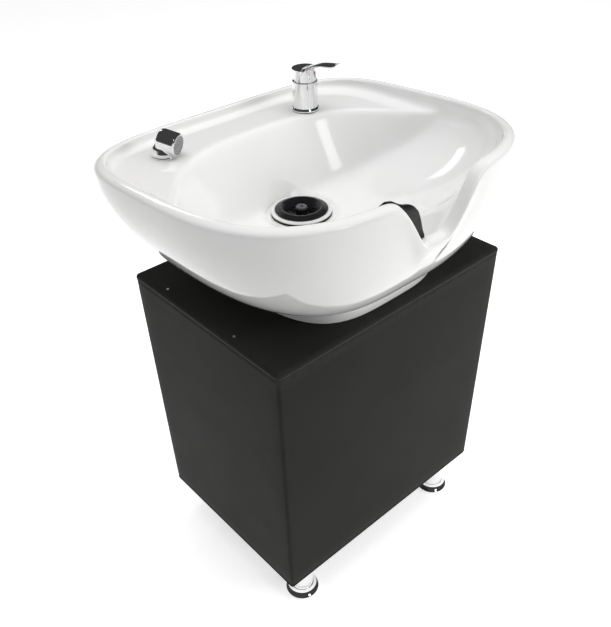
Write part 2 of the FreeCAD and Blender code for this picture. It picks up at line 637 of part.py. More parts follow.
rest_z = flange_z + s.flange_thick
basket_body = turned("basket_body", [
    ("0", "-Sizes.basket_cup_depth"), ("Sizes.basket_cup_radius", "-Sizes.basket_cup_depth"),
    ("Sizes.basket_cup_radius", "0"), ("Sizes.basket_rim_radius", "0"),
    ("Sizes.basket_rim_radius", "Sizes.basket_rim_edge"),
    ("Sizes.basket_rim_radius - Sizes.basket_bevel", "Sizes.basket_rim_height"),
    ("Sizes.basket_mouth", "Sizes.basket_rim_height"),
    ("Sizes.basket_mouth", "-Sizes.basket_cup_depth + Sizes.basket_cup_wall"),
    ("0", "-Sizes.basket_cup_depth + Sizes.basket_cup_wall")], 0, drain_y, rest_z)
slots = []
for group_step in range(SLOT_GROUPS):
    way = FreeCAD.Rotation(V(0, 0, 1), 360.0 * group_step / SLOT_GROUPS)
    for row in (-1, 0, 1):
        slot = box("basket_slot_%d_%d" % (group_step, row), "Sizes.slot_end - Sizes.slot_start",
                   "Sizes.slot_width", "Sizes.basket_cup_wall + 2 * Sizes.overrun", 0, 0, 0)
        corner_at = way.multVec(V(s.slot_start, row * s.slot_pitch - s.slot_width / 2, 0))
        put(slot, corner_at.x, drain_y + corner_at.y, rest_z - s.basket_cup_depth - s.overrun, way)
        slots.append(slot)
keep(cut("strainer_basket", basket_body, fuse("basket_slots", slots)))
knob_z = rest_z - s.basket_cup_depth + s.basket_cup_wall
keep(turned("strainer_knob", [
    ("0", "0"), ("Sizes.knob_radius", "0"),
    ("Sizes.knob_radius", "Sizes.basket_cup_depth - Sizes.knob_drop"),
    ("Sizes.knob_cap_radius", "Sizes.basket_cup_depth - Sizes.knob_drop"),
    ("Sizes.knob_cap_radius", "Sizes.basket_cup_depth - Sizes.knob_drop + Sizes.knob_cap_thick"),
    ("Sizes.knob_bore", "Sizes.basket_cup_depth - Sizes.knob_drop + Sizes.knob_cap_thick"),
    ("Sizes.knob_bore", "Sizes.basket_cup_depth - Sizes.knob_drop"),
    ("0", "Sizes.basket_cup_depth - Sizes.knob_drop")], 0, drain_y, knob_z))

tail_end_z = flange_z - s.cup_depth - s.tail_end
bottle_top = tail_end_z - s.fit_gap
keep(ring("trap_nut", "Sizes.trap_nut_radius", "Sizes.tail_radius + Sizes.fit_gap / 3",
          "Sizes.trap_nut_height", 0, drain_y, bottle_top))
bottle_foot_share, bottle_shoulder_share = 0.85, 0.9
shoulder = part_of("-Sizes.bottle_height", bottle_shoulder_share)
bottle_skin = turned("trap_bottle_skin", [
    ("0", "-Sizes.bottle_height"),
    (part_of("Sizes.bottle_radius", bottle_foot_share), "-Sizes.bottle_height"),
    ("Sizes.bottle_radius", shoulder),
    ("Sizes.bottle_radius", "-Sizes.bottle_wall * 2"), ("Sizes.trap_nut_radius", "0"),
    ("Sizes.tail_radius - Sizes.tail_wall", "0"),
    ("Sizes.tail_radius - Sizes.tail_wall", "-Sizes.bottle_wall"),
    ("Sizes.bottle_radius - Sizes.bottle_wall", "-Sizes.bottle_wall * 3"),
    ("Sizes.bottle_radius - Sizes.bottle_wall", shoulder),
    ("0", "-Sizes.bottle_height + Sizes.bottle_wall")], 0, drain_y, bottle_top)
outlet_z = bottle_top - s.outlet_drop
side_hole = rod("trap_side_hole", "Sizes.outlet_radius - Sizes.outlet_wall",
                "Sizes.bottle_radius + Sizes.overrun", 0, drain_y, outlet_z, along_y)
keep(cut("trap_bottle", bottle_skin, side_hole))
pipe_end = mid_y + half_d + s.outlet_stub
pipe = Part.makeCylinder(s.outlet_radius, pipe_end - drain_y, V(0, drain_y, outlet_z), V(0, 1, 0))
pipe = pipe.cut(Part.makeCylinder(s.bottle_radius + s.fit_gap / 3, s.bottle_height * 2,
                                  V(0, drain_y, outlet_z - s.bottle_height)))
pipe = pipe.cut(Part.makeCylinder(s.outlet_radius - s.outlet_wall, pipe_end - drain_y + s.overrun,
                                  V(0, drain_y, outlet_z), V(0, 1, 0)))
groove_at = V(0, pipe_end - s.outlet_stub - s.relief_width, outlet_z)
groove = Part.makeCylinder(s.outlet_radius + s.overrun, s.relief_width, groove_at, V(0, 1, 0))
groove = groove.cut(Part.makeCylinder(s.outlet_radius - s.relief_depth, s.relief_width, groove_at,
                                      V(0, 1, 0)))
keep(shape("trap_outlet", pipe.cut(groove)))

# mixer: fixed on the terrace, its handle turns on the cartridge and lifts on the stem

keep(ring("mixer_gasket", "Sizes.base_ring_radius - Sizes.deck_gasket", "Sizes.shank_radius",
          "Sizes.deck_gasket", mx, my, deck_on))
base_z = deck_on + s.deck_gasket
snug = "Sizes.running_gap"
ring_edge_share, ring_slope_share = 0.6, 0.3
keep(turned("mixer_base_ring", [
    ("Sizes.body_radius + " + snug, "0"), ("Sizes.base_ring_radius", "0"),
    ("Sizes.base_ring_radius", part_of("Sizes.base_ring_height", ring_edge_share)),
    ("Sizes.base_ring_radius - " + part_of("Sizes.base_ring_height", ring_slope_share),
     "Sizes.base_ring_height"),
    ("Sizes.body_radius + " + snug, "Sizes.base_ring_height")], mx, my, base_z))
seat_h = "Sizes.body_height - Sizes.cartridge_height"
keep(turned("mixer_body", [
    ("0", "Sizes.body_wall"), ("Sizes.shank_radius", "Sizes.body_wall"),
    ("Sizes.shank_radius", "0"), ("Sizes.body_radius", "0"), ("Sizes.body_radius", "Sizes.body_height"),
    ("Sizes.body_radius - Sizes.body_wall", "Sizes.body_height"),
    ("Sizes.body_radius - Sizes.body_wall", seat_h), ("0", seat_h)], mx, my, base_z))
cart_z = base_z + s.body_height - s.cartridge_height
keep(turned("cartridge", [
    ("0", "0"), ("Sizes.cartridge_radius", "0"),
    ("Sizes.cartridge_radius", "Sizes.cartridge_height - Sizes.cap_nut_height"),
    ("0", "Sizes.cartridge_height - Sizes.cap_nut_height")], mx, my, cart_z))
keep(ring("cartridge_nut", "Sizes.body_radius - Sizes.body_wall - " + snug,
          "Sizes.stem_side + Sizes.cap_nut_lip", "Sizes.cap_nut_height", mx, my,
          cart_z + s.cartridge_height - s.cap_nut_height))
top_z = base_z + s.body_height
handle = FreeCAD.Rotation(V(0, 0, 1), HANDLE_TURN)

pivot_at = V(0, 0, s.lever_pivot - s.body_height)
lift_shares = (0, 1 / 3, 2 / 3, 1)
bar_across_share, bar_up_share = 0.6, 0.7


def lever_room(less):
    """The space inside the lever and under its arch, smaller by this much all round."""
    roof = s.lever_top - s.body_height - s.lever_roof - less
    room = s.lever_radius - s.lever_wall - less
    bore = Part.makeCylinder(room, roof + s.lever_radius, V(0, 0, -s.lever_radius))
    arch = Part.makeCylinder(1, 4 * s.lever_radius, V(0, -2 * s.lever_radius, 0), V(0, 1, 0))
    grow = FreeCAD.Matrix()
    grow.scale(s.arch_reach - less, 1, s.arch_height - less)
    arch = arch.transformGeometry(grow)
    arch.translate(V(s.arch_centre, 0, 0))
    ahead = Part.makeBox(s.lever_reach, 4 * s.lever_radius, s.lever_radius + s.arch_height - less,
                         V(s.arch_centre, -2 * s.lever_radius, -s.lever_radius))
    return bore.fuse(arch).fuse(ahead)


def dome_solid():
    """The carrier inside the lever, clear of it at every lift, with its two pins."""
    dome = Part.makeCylinder(s.dome_radius, s.lever_top - s.body_height, V(0, 0, s.fit_gap))
    for share in lift_shares:
        space = lever_room(s.fit_gap)
        space.rotate(pivot_at, V(0, -1, 0), share * (LEVER_LIFT + LIFT_SPARE))
        dome = dome.common(space)
    pins = Part.makeCylinder(s.trunnion_radius, 2 * s.trunnion_reach,
                             pivot_at - V(0, s.trunnion_reach, 0), V(0, 1, 0))
    hole = Part.makeCylinder(s.stem_side, s.stem_length - s.cap_nut_height, V(0, 0, 0))
    pocket = Part.makeCylinder(s.dot_radius, s.dot_thick, dot_at, V(1, 0, 0))
    return dome.fuse(pins).cut(hole).cut(pocket)


def rounded_bar(x, z, width, thick, lean):
    """A flat oval section of the lever, square to its run."""
    points = []
    count = 24
    for i in range(count):
        t = 2 * math.pi * i / count
        across = width / 2 * math.copysign(abs(math.cos(t)) ** bar_across_share, math.cos(t))
        up = thick / 2 * math.copysign(abs(math.sin(t)) ** bar_up_share, math.sin(t))
        points.append(V(x - up * math.sin(lean), across, z + up * math.cos(lean)))
    curve = Part.BSplineCurve()
    curve.interpolate(Points=points, PeriodicFlag=True)
    return Part.Wire(curve.toShape())


# the lever's sections: shares of its reach, rise, width and thickness, and its lean in degrees
bar_shares = ((-0.186, 0.552, 0.79, 0.83), (0.114, 0.609, 1, 1), (0.343, 0.793, 0.71, 0.83),
              (0.529, 0.878, 0.605, 0.83), (1, 1, 0.5, 0.67))
BAR_LEANS = (0, 15, 18, 10, 4)


def lever_solid():
    """Handle in its own frame: +X along the lever, Z 0 at the top of the mixer body."""
    gap = s.lever_skirt_gap
    shell = Part.makeCylinder(s.lever_radius, s.lever_top - s.body_height - gap, V(0, 0, gap))
    paddle = Part.makeLoft([
        rounded_bar(s.lever_reach * out, s.lever_rise * up, s.lever_width * wide,
                    s.lever_thick * thick, math.radians(lean))
        for (out, up, wide, thick), lean in zip(bar_shares, BAR_LEANS)], True, False)
    pivots = Part.makeCylinder(s.trunnion_radius + s.running_gap, 2 * s.trunnion_reach + s.fit_gap,
                               pivot_at - V(0, s.trunnion_reach + s.fit_gap / 2, 0), V(0, 1, 0))
    relief = Part.makeBox(s.lever_reach + s.overrun, s.lever_radius * 4, s.lever_radius,
                          V(-s.lever_reach, -s.lever_radius * 2, gap - s.lever_radius))
    relief.rotate(pivot_at, V(0, 1, 0), LEVER_LIFT + LIFT_SPARE)
    return shell.fuse(paddle).cut(lever_room(0)).cut(pivots).cut(relief)


dot_at = V(s.dome_radius - s.dot_thick, 0, s.dot_height - s.body_height)
keep(shape("handle_dome", dome_solid(), mx, my, top_z, handle))
keep(rod("handle_stem", "Sizes.stem_side", "Sizes.stem_length", mx, my, top_z - s.cap_nut_height))
dot_spot = V(mx, my, top_z) + handle.multVec(dot_at)
dot_turn = FreeCAD.Rotation(V(0, 0, 1), handle.multVec(V(1, 0, 0)))
keep(rod("temperature_dot", "Sizes.dot_radius", "Sizes.dot_thick", dot_spot.x, dot_spot.y, dot_spot.z,
         dot_turn))
keep(shape("mixer_lever", lever_solid(), mx, my, top_z, handle))
keep(ring("mixer_shank", "Sizes.shank_radius", "Sizes.shank_radius - Sizes.shank_wall",
          "Sizes.shank_length", mx, my, base_z - s.shank_length + s.body_wall))
for owner, x, y, inner in (("mixer", mx, my, "Sizes.shank_radius"),
                           ("spray", px, py, "Sizes.seat_tube_radius")):
    keep(ring(owner + "_washer", "Sizes.deck_nut_radius", inner + " + Sizes.fit_gap",
              "Sizes.deck_washer", x, y, deck_under - s.deck_washer))
    keep(ring(owner + "_nut", "Sizes.deck_nut_radius", inner + " + Sizes.fit_gap / 3",
              "Sizes.deck_nut_height", x, y, deck_under - s.deck_washer - s.deck_nut_height))

# hand spray: a seat in the terrace and a head that lifts out on its hose

keep(ring("spray_gasket", "Sizes.seat_ring_radius - Sizes.deck_gasket", "Sizes.seat_tube_radius",
          "Sizes.deck_gasket", px, py, deck_on))
ring_z = deck_on + s.deck_gasket
keep(turned("spray_seat", [
    ("Sizes.seat_bore", "-Sizes.seat_length"), ("Sizes.seat_tube_radius", "-Sizes.seat_length"),
    ("Sizes.seat_tube_radius", "0"), ("Sizes.seat_ring_radius", "0"),
    ("Sizes.seat_ring_radius", "Sizes.seat_ring_height"), ("Sizes.seat_bore", "Sizes.seat_ring_height")],
    px, py, ring_z))
head_z = deck_z + s.fit_gap
rest_on = ring_z + s.seat_ring_height
facing = FreeCAD.Rotation(V(0, 0, 1), SPRAY_TURN).multiply(FreeCAD.Rotation(V(0, 1, 0), SPRAY_DIP))
forward = facing.multVec(V(1, 0, 0))
lie = FreeCAD.Rotation(V(0, 0, 1), forward)
centre = V(px, py, deck_z + s.head_centre)
neck_across_shares, neck_up_shares = (1, 0.98, 0.88, 0.66, 0.4, 0), (0, 0.3, 0.6, 0.82, 0.95, 1)
neck_height = "Sizes.head_centre - Sizes.fit_gap"
neck = turned("spray_neck", [("0", "0")] + [
    (part_of("Sizes.neck_radius", across), part_of(neck_height, up))
    for across, up in zip(neck_across_shares, neck_up_shares)], px, py, head_z)
lip = rod("spray_lip", "Sizes.neck_lip_radius", "Sizes.neck_lip_height", px, py, head_z)
back_across_shares, back_deep_shares = (0, 0.38, 0.72, 0.93, 1), (1, 0.93, 0.75, 0.45, 0)
barrel = turned("spray_barrel", [
    (part_of("Sizes.head_radius", across), part_of("-Sizes.head_back", deep))
    for across, deep in zip(back_across_shares, back_deep_shares)] + [
    ("Sizes.head_radius", "Sizes.head_reach - Sizes.head_bevel"),
    ("Sizes.head_radius - Sizes.head_bevel", "Sizes.head_reach"), ("0", "Sizes.head_reach")],
    centre.x, centre.y, centre.z, lie)
plug = rod("spray_plug", "Sizes.plug_radius", "Sizes.plug_length", px, py, rest_on - s.plug_length)
face_at = centre + forward * (s.head_reach - s.face_depth)
pocket = rod("spray_pocket", "Sizes.face_radius", "Sizes.face_depth + Sizes.overrun",
             face_at.x, face_at.y, face_at.z, lie)
seat_room = ring("spray_seat_room", "Sizes.seat_ring_radius + Sizes.fit_gap", "Sizes.plug_radius",
                 "Sizes.running_gap + Sizes.deck_gasket + Sizes.seat_ring_height + Sizes.overrun",
                 px, py, deck_z - s.overrun)
keep(cut("spray_head", fuse("spray_head_whole", [neck, lip, barrel, plug]),
         fuse("spray_head_cuts", [pocket, seat_room])))
face_share = 0.75
keep(rod("spray_face", "Sizes.face_radius", part_of("Sizes.face_depth", face_share), face_at.x, face_at.y,
         face_at.z, lie))
tail_top = rest_on - s.plug_length
keep(rod("spray_hose_tail", "Sizes.hose_radius", "Sizes.spray_tail", px, py,
         tail_top - s.spray_tail))

# hoses inside the pedestal, and the two inlets in the back panel

hose_top = base_z + s.body_wall
nest = (s.hose_radius + s.fit_gap / 2) / math.cos(math.radians(30))
inlet_in = back_y - s.inlet_collar_thick
for name, x, sideways, route in (
        ("supply_hose_hot", s.inlet_first_x, -1, [
            (-26, -31.5, -114), (-52, -63.5, -159), (-76, -91.5, -209), (-80, -97.5, -279),
            (-80, -101.5, -369), (-78, -103.5, -469)]),
        ("supply_hose_cold", s.inlet_second_x, 1, [
            (10, -35.5, -114), (-26, -81.5, -155), (-60, -109.5, -194), (-64, -113.5, -264),
            (-56, -115.5, -364), (-44, -113.5, -469)])):
    top_x = mx + sideways * nest * math.cos(math.radians(30))
    top_y = my + nest * math.sin(math.radians(30))
    keep(hose(name, [(top_x, top_y, hose_top), (top_x, top_y, hose_top - 74)]
              + [(mx + dx, my + dy, hose_top + dz) for dx, dy, dz in route]
              + [(x, inlet_in - 92, inlet_z + 115), (x, inlet_in - 83, inlet_z + 57),
                 (x, inlet_in - 59, inlet_z + 15), (x, inlet_in - 29, inlet_z), (x, inlet_in, inlet_z)],
              s.hose_radius))
for name, x in (("inlet_hot", s.inlet_first_x), ("inlet_cold", s.inlet_second_x)):
    outside = "Sizes.inlet_ring_thick + Sizes.relief_width + Sizes.inlet_stub"
    through = "Sizes.board + Sizes.cover + " + outside
    stem = rod(name + "_stem", "Sizes.inlet_radius", through, x, back_y, inlet_z, along_y)
    collar = rod(name + "_collar", "Sizes.inlet_collar_radius", "Sizes.inlet_collar_thick",
                 x, back_y - s.inlet_collar_thick, inlet_z, along_y)
    bore = rod(name + "_bore", "Sizes.inlet_bore", through + " + Sizes.overrun",
               x, back_y + s.fit_gap, inlet_z, along_y)
    lock = rod(name + "_lock", "Sizes.inlet_collar_radius", "Sizes.inlet_ring_thick",
               x, back_y + s.board + s.cover, inlet_z, along_y)
    groove = shape(name + "_groove", Part.makeCylinder(s.inlet_radius + s.overrun, s.relief_width).cut(
        Part.makeCylinder(s.inlet_radius - s.relief_depth, s.relief_width)),
        x, back_y + s.board + s.cover + s.inlet_ring_thick, inlet_z, along_y)
    keep(cut(name, fuse(name + "_whole", [stem, collar, lock]), fuse(name + "_cuts", [bore, groove])))
tail_low = tail_top - s.spray_tail
keep(hose("spray_hose_loop", [
    (px, py, tail_low), (px, py, tail_low - 30), (px + 9, py - 13, tail_low - 54),
    (px + 39, py - 46, tail_low - 68), (px + 75, py - 82, tail_low - 84),
    (px + 107, py - 112, tail_low - 120), (px + 113, py - 119, tail_low - 186),
    (px + 114, py - 123, tail_low - 262),
    (px + 115, py - 128, tail_low - 352), (px + 115, py - 130, tail_low - 432),
    (px + 150, py - 134, tail_low - 467), (px + 200, py - 138, tail_low - 467),
    (px + 235, py - 140, tail_low - 432), (px + 239, py - 142, tail_low - 352),
    (px + 245, py - 144, tail_low - 280), (px + 253, py - 144, tail_low - 204),
    (px + 257, py - 144, tail_low - 132), (px + 277, py - 126, tail_low - 88),
    (px + 297, py - 80, tail_low - 50), (mx, my - nest, hose_top - 81), (mx, my - nest, hose_top)],
    s.hose_radius))

doc.recompute()
for obj in doc.Objects:
    if "Invalid" in obj.State or "Error" in obj.State:
        raise SystemExit("failed object: %s %s" % (obj.Label, obj.State))
os.makedirs("parts", exist_ok=True)
for node in NODES:
    solid = node.Shape
    if solid.isNull() or not solid.isValid() or not solid.Solids:
        raise SystemExit("bad shape: " + node.Label)
    if min(one.Volume for one in solid.Solids) <= 0:
        raise SystemExit("inside out: " + node.Label)
    solid.exportStep("parts/%s.step" % node.Label)
print("%d nodes written" % len(NODES))
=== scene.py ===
import math
import bmesh
import bpy
from mathutils import Matrix, Vector, noise


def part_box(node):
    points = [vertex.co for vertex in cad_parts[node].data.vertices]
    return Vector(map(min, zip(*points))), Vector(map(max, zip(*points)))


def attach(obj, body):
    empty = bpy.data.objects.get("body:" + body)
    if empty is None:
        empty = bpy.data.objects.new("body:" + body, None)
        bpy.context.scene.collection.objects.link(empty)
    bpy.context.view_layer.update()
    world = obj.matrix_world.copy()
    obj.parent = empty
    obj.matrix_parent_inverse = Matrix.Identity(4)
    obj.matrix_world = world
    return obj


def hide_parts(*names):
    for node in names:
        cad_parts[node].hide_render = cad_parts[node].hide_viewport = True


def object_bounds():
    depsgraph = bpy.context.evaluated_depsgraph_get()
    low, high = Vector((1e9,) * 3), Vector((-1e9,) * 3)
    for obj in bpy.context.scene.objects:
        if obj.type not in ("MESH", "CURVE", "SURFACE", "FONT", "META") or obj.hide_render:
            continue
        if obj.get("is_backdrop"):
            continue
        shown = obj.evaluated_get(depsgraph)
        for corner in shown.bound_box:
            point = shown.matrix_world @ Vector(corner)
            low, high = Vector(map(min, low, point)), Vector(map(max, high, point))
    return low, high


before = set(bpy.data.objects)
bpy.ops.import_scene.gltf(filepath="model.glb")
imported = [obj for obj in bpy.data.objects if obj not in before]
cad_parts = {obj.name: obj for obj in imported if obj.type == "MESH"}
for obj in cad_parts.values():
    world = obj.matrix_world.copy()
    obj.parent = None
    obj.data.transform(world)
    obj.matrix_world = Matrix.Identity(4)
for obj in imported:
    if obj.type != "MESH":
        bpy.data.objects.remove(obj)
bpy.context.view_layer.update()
mm = 0.001
up = Vector((0, 0, 1))


# places read from the frame

def middleOf(node):
    low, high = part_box(node)
    return (low + high) / 2


def topOf(node):
    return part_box(node)[1].z


def floorOf(node):
    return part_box(node)[0].z


def standOf(node):
    middle = middleOf(node)
    return Vector((middle.x, middle.y, floorOf(node)))


def radiusOf(node):
    low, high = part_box(node)
    return (high.x - low.x) / 2 / mm


def heightOf(node):
    low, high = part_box(node)
    return (high.z - low.z) / mm


boxTop = topOf("cover_lid")
drainY = middleOf("waste_flange").y
mixerAt = middleOf("mixer_body")
sprayAt = middleOf("spray_seat")
wrapLow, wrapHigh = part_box("cover_wrap")
midY = (wrapLow.y + wrapHigh.y) / 2
print("frame read:", len(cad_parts), "nodes")


# mesh helpers

sharpEdge = 38  # degrees between two faces, from which their edge stays sharp


def linkPiece(name, mesh):
    piece = bpy.data.objects.new(name, mesh)
    bpy.context.scene.collection.objects.link(piece)
    return piece


def faceOutwards(mesh, weld=0.0):
    work = bmesh.new()
    work.from_mesh(mesh)
    if weld:
        bmesh.ops.remove_doubles(work, verts=work.verts, dist=weld)
    bmesh.ops.recalc_face_normals(work, faces=work.faces)
    work.to_mesh(mesh)
    work.free()


def shadeSharp(mesh, sharpAngle):
    mesh.shade_smooth()
    mesh.set_sharp_from_angle(angle=math.radians(sharpAngle))


def meshPiece(name, points, faces, sharpAngle=sharpEdge):
    mesh = bpy.data.meshes.new(name)
    mesh.from_pydata([tuple(p) for p in points], [], faces)
    faceOutwards(mesh)
    shadeSharp(mesh, sharpAngle)
    return linkPiece(name, mesh)


def bandFaces(rows, count, closed=False):
    # faces between loops of points that lie one after another, and back to the first where closed
    faces = []
    for row in range(rows if closed else rows - 1):
        here, there = row * count, (row + 1) % rows * count
        for i in range(count):
            j = (i + 1) % count
            faces.append((here + i, here + j, there + j, there + i))
    return faces


def softened(line, reachMm, steps, closed=False):
    # each corner of a profile becomes a small curve, within less than half of the edges beside it
    most = 0.45
    count = len(line)
    out = []
    for i, here in enumerate(line):
        if not closed and i in (0, count - 1):
            out.append(tuple(here))
            continue
        corner = Vector(here)
        before, after = Vector(line[i - 1]), Vector(line[(i + 1) % count])
        reach = min(reachMm, most * (corner - before).length, most * (after - corner).length)
        a = corner + (before - corner).normalized() * reach
        b = corner + (after - corner).normalized() * reach
        for step in range(steps + 1):
            t = step / steps
            out.append(tuple(a * (1 - t) ** 2 + corner * (2 * t * (1 - t)) + b * t * t))
    return out


def lathe(name, line, place, steps=96, closed=False):
    # line: (radius, height) in millimetres, turned round the upright through place
    points, rings = [], []
    for radius, height in line:
        turns = steps if radius > 1e-4 else 1
        first = len(points)
        for i in range(turns):
            angle = 2 * math.pi * i / steps
            points.append(place + Vector((radius * math.cos(angle), radius * math.sin(angle), height)) * mm)
        rings.append([first + i % turns for i in range(steps)])
    faces = []
    pairs = list(zip(rings, rings[1:])) + ([(rings[-1], rings[0])] if closed else [])
    for low, high in pairs:
        for i in range(steps):
            j = (i + 1) % steps
            face = []
            for corner in (low[i], low[j], high[j], high[i]):
                if corner not in face:
                    face.append(corner)
            if len(face) > 2:
                faces.append(face)
    return meshPiece(name, points, faces)


def applyModifiers(piece):
    bpy.context.view_layer.update()
    ready = piece.evaluated_get(bpy.context.evaluated_depsgraph_get())
    piece.data = bpy.data.meshes.new_from_object(ready)
    piece.modifiers.clear()


def thicken(piece, thickMm, offset):
    thick = piece.modifiers.new("thickness", "SOLIDIFY")
    thick.thickness = thickMm * mm
    thick.offset = offset
    return piece


def copyNode(name, node, weld):
    piece = linkPiece(name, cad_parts[node].data.copy())
    piece.data.materials.clear()
    faceOutwards(piece.data, weld)
    return piece


def softCopy(name, node, voxelMm, smoothing):
    # a CAD solid's mesh remade fine, with the small fillets of a polished casting
    piece = copyNode(name, node, 1e-5)
    remesh = piece.modifiers.new("remesh", "REMESH")
    remesh.mode = "VOXEL"
    remesh.voxel_size = voxelMm * mm
    smooth = piece.modifiers.new("smooth", "SMOOTH")
    smooth.factor = 0.5
    smooth.iterations = smoothing
    applyModifiers(piece)
    piece.data.shade_smooth()
    return piece


def smoothCopy(name, node):
    # a CAD solid's mesh with smooth shading over its turned and rounded faces
    piece = copyNode(name, node, 1e-6)
    shadeSharp(piece.data, 30)
    return piece


def settle(piece, body, slotName, material, *nodes):
    piece.data.materials.clear()
    piece.data.materials.append(material)
    if nodes:
        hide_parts(*nodes)
    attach(piece, body)
    return piece


def dressNode(node, material):
    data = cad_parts[node].data
    if not data.materials:
        data.materials.append(material)
    for i in range(len(data.materials)):
        data.materials[i] = material


# nodes of trees, for geometry and for materials

def addNode(tree, kind, values=None):
    # each value is one of the node's own settings, a number or colour for an input, or another node's output
    node = tree.nodes.new(kind)
    for key, value in (values or {}).items():
        if not isinstance(key, int) and key not in node.inputs:
            setattr(node, key, value)
        elif isinstance(value, bpy.types.NodeSocket):
            tree.links.new(value, node.inputs[key])
        else:
            node.inputs[key].default_value = value
    return node


def addInputs(tree, values):
    # named inputs with their first values: whole numbers, plain numbers or colours
    kinds = {int: "NodeSocketInt", float: "NodeSocketFloat", tuple: "NodeSocketColor"}
    for label, value in values.items():
        socket = tree.interface.new_socket(name=label, in_out="INPUT", socket_type=kinds[type(value)])
        socket.default_value = value


def mathNode(tree, operation, *values):
    return addNode(tree, "ShaderNodeMath", {"operation": operation, **dict(enumerate(values))}).outputs[0]


def vectorNode(tree, **parts):
    return addNode(tree, "ShaderNodeCombineXYZ", parts).outputs[0]


def rangeNode(tree, source, fromLow, fromHigh, toLow, toHigh):
    return addNode(tree, "ShaderNodeMapRange", {
        "Value": source, "From Min": fromLow, "From Max": fromHigh,
        "To Min": toLow, "To Max": toHigh}).outputs["Result"]


def mixColours(tree, share, a, b):
    return addNode(tree, "ShaderNodeMix", {"data_type": "RGBA", 0: share, 6: a, 7: b}).outputs[2]


def objectPlace(tree):
    return addNode(tree, "ShaderNodeTexCoord").outputs["Object"]


def cloudNode(tree, at, scale, **values):
    return addNode(tree, "ShaderNodeTexNoise", {"Vector": at, "Scale": scale, **values}).outputs


# geometry node patterns: what repeats round a ring, along a hem or at a set of points

def startPattern(name, values):
    tree = bpy.data.node_groups.new(name, "GeometryNodeTree")
    tree.interface.new_socket(name="Geometry", in_out="INPUT", socket_type="NodeSocketGeometry")
    addInputs(tree, values)
    tree.interface.new_socket(name="Finish", in_out="INPUT", socket_type="NodeSocketMaterial")
    tree.interface.new_socket(name="Geometry", in_out="OUTPUT", socket_type="NodeSocketGeometry")
    return tree, tree.nodes.new("NodeGroupInput").outputs


def endPattern(tree, given, **instancing):
    stand = addNode(tree, "GeometryNodeInstanceOnPoints", instancing)
    real = addNode(tree, "GeometryNodeRealizeInstances", {"Geometry": stand.outputs["Instances"]})
    paint = addNode(tree, "GeometryNodeSetMaterial", {
        "Geometry": real.outputs["Geometry"], "Material": given["Finish"]})
    addNode(tree, "NodeGroupOutput", {"Geometry": paint.outputs["Geometry"]})
    return tree


def growPattern(name, tree, values, material, place=Matrix(), points=((0, 0, 0),), edges=()):
    # runs a pattern on the given points and keeps the result as a plain mesh
    mesh = bpy.data.meshes.new(name)
    mesh.from_pydata([tuple(p) for p in points], list(edges), [])
    piece = linkPiece(name, mesh)
    pattern = piece.modifiers.new(tree.name, "NODES")
    pattern.node_group = tree
    values = {**values, "Finish": material}
    for item in tree.interface.items_tree:
        if item.in_out == "INPUT" and item.name in values:
            pattern[item.identifier] = values[item.name]
    applyModifiers(piece)
    piece.data.transform(place)
    shadeSharp(piece.data, sharpEdge)
    return piece


def makeRibRing():
    # upright round ribs in a ring, half sunk in the wall that they grip
    tree, given = startPattern("ribRing", {
        "Ribs": 24, "Ring Radius": 0.03, "Rib Radius": 0.002, "Rib Height": 0.01})
    ring = addNode(tree, "GeometryNodeMeshCircle", {
        "Vertices": given["Ribs"], "Radius": given["Ring Radius"]})
    rib = addNode(tree, "GeometryNodeMeshCylinder", {"Vertices": 12, "Radius": 1.0, "Depth": 2.0})
    half = mathNode(tree, "MULTIPLY", given["Rib Height"], 0.5)
    across = given["Rib Radius"]
    return endPattern(tree, given, Points=ring.outputs["Mesh"], Instance=rib.outputs["Mesh"],
                      Scale=vectorNode(tree, X=across, Y=across, Z=half))


def makeNozzleField(rings):
    # soft nozzles on rings of six, twelve, eighteen and so on, and one in the middle
    tree, given = startPattern("nozzleField", {
        "Pitch": 0.003, "Nozzle Radius": 0.0008, "Nozzle Height": 0.0009})
    spots = addNode(tree, "GeometryNodeJoinGeometry")
    tree.links.new(addNode(tree, "GeometryNodePoints").outputs[0], spots.inputs[0])
    for ring in range(1, rings + 1):
        wide = mathNode(tree, "MULTIPLY", given["Pitch"], float(ring))
        row = addNode(tree, "GeometryNodeMeshCircle", {"Vertices": 6 * ring, "Radius": wide})
        asPoints = addNode(tree, "GeometryNodeMeshToPoints", {"Mesh": row.outputs["Mesh"]})
        tree.links.new(asPoints.outputs[0], spots.inputs[0])
    tip = addNode(tree, "GeometryNodeMeshUVSphere", {"Segments": 10, "Rings": 6, "Radius": 1.0})
    across = given["Nozzle Radius"]
    return endPattern(tree, given, Points=spots.outputs[0], Instance=tip.outputs["Mesh"],
                      Scale=vectorNode(tree, X=across, Y=across, Z=given["Nozzle Height"]))


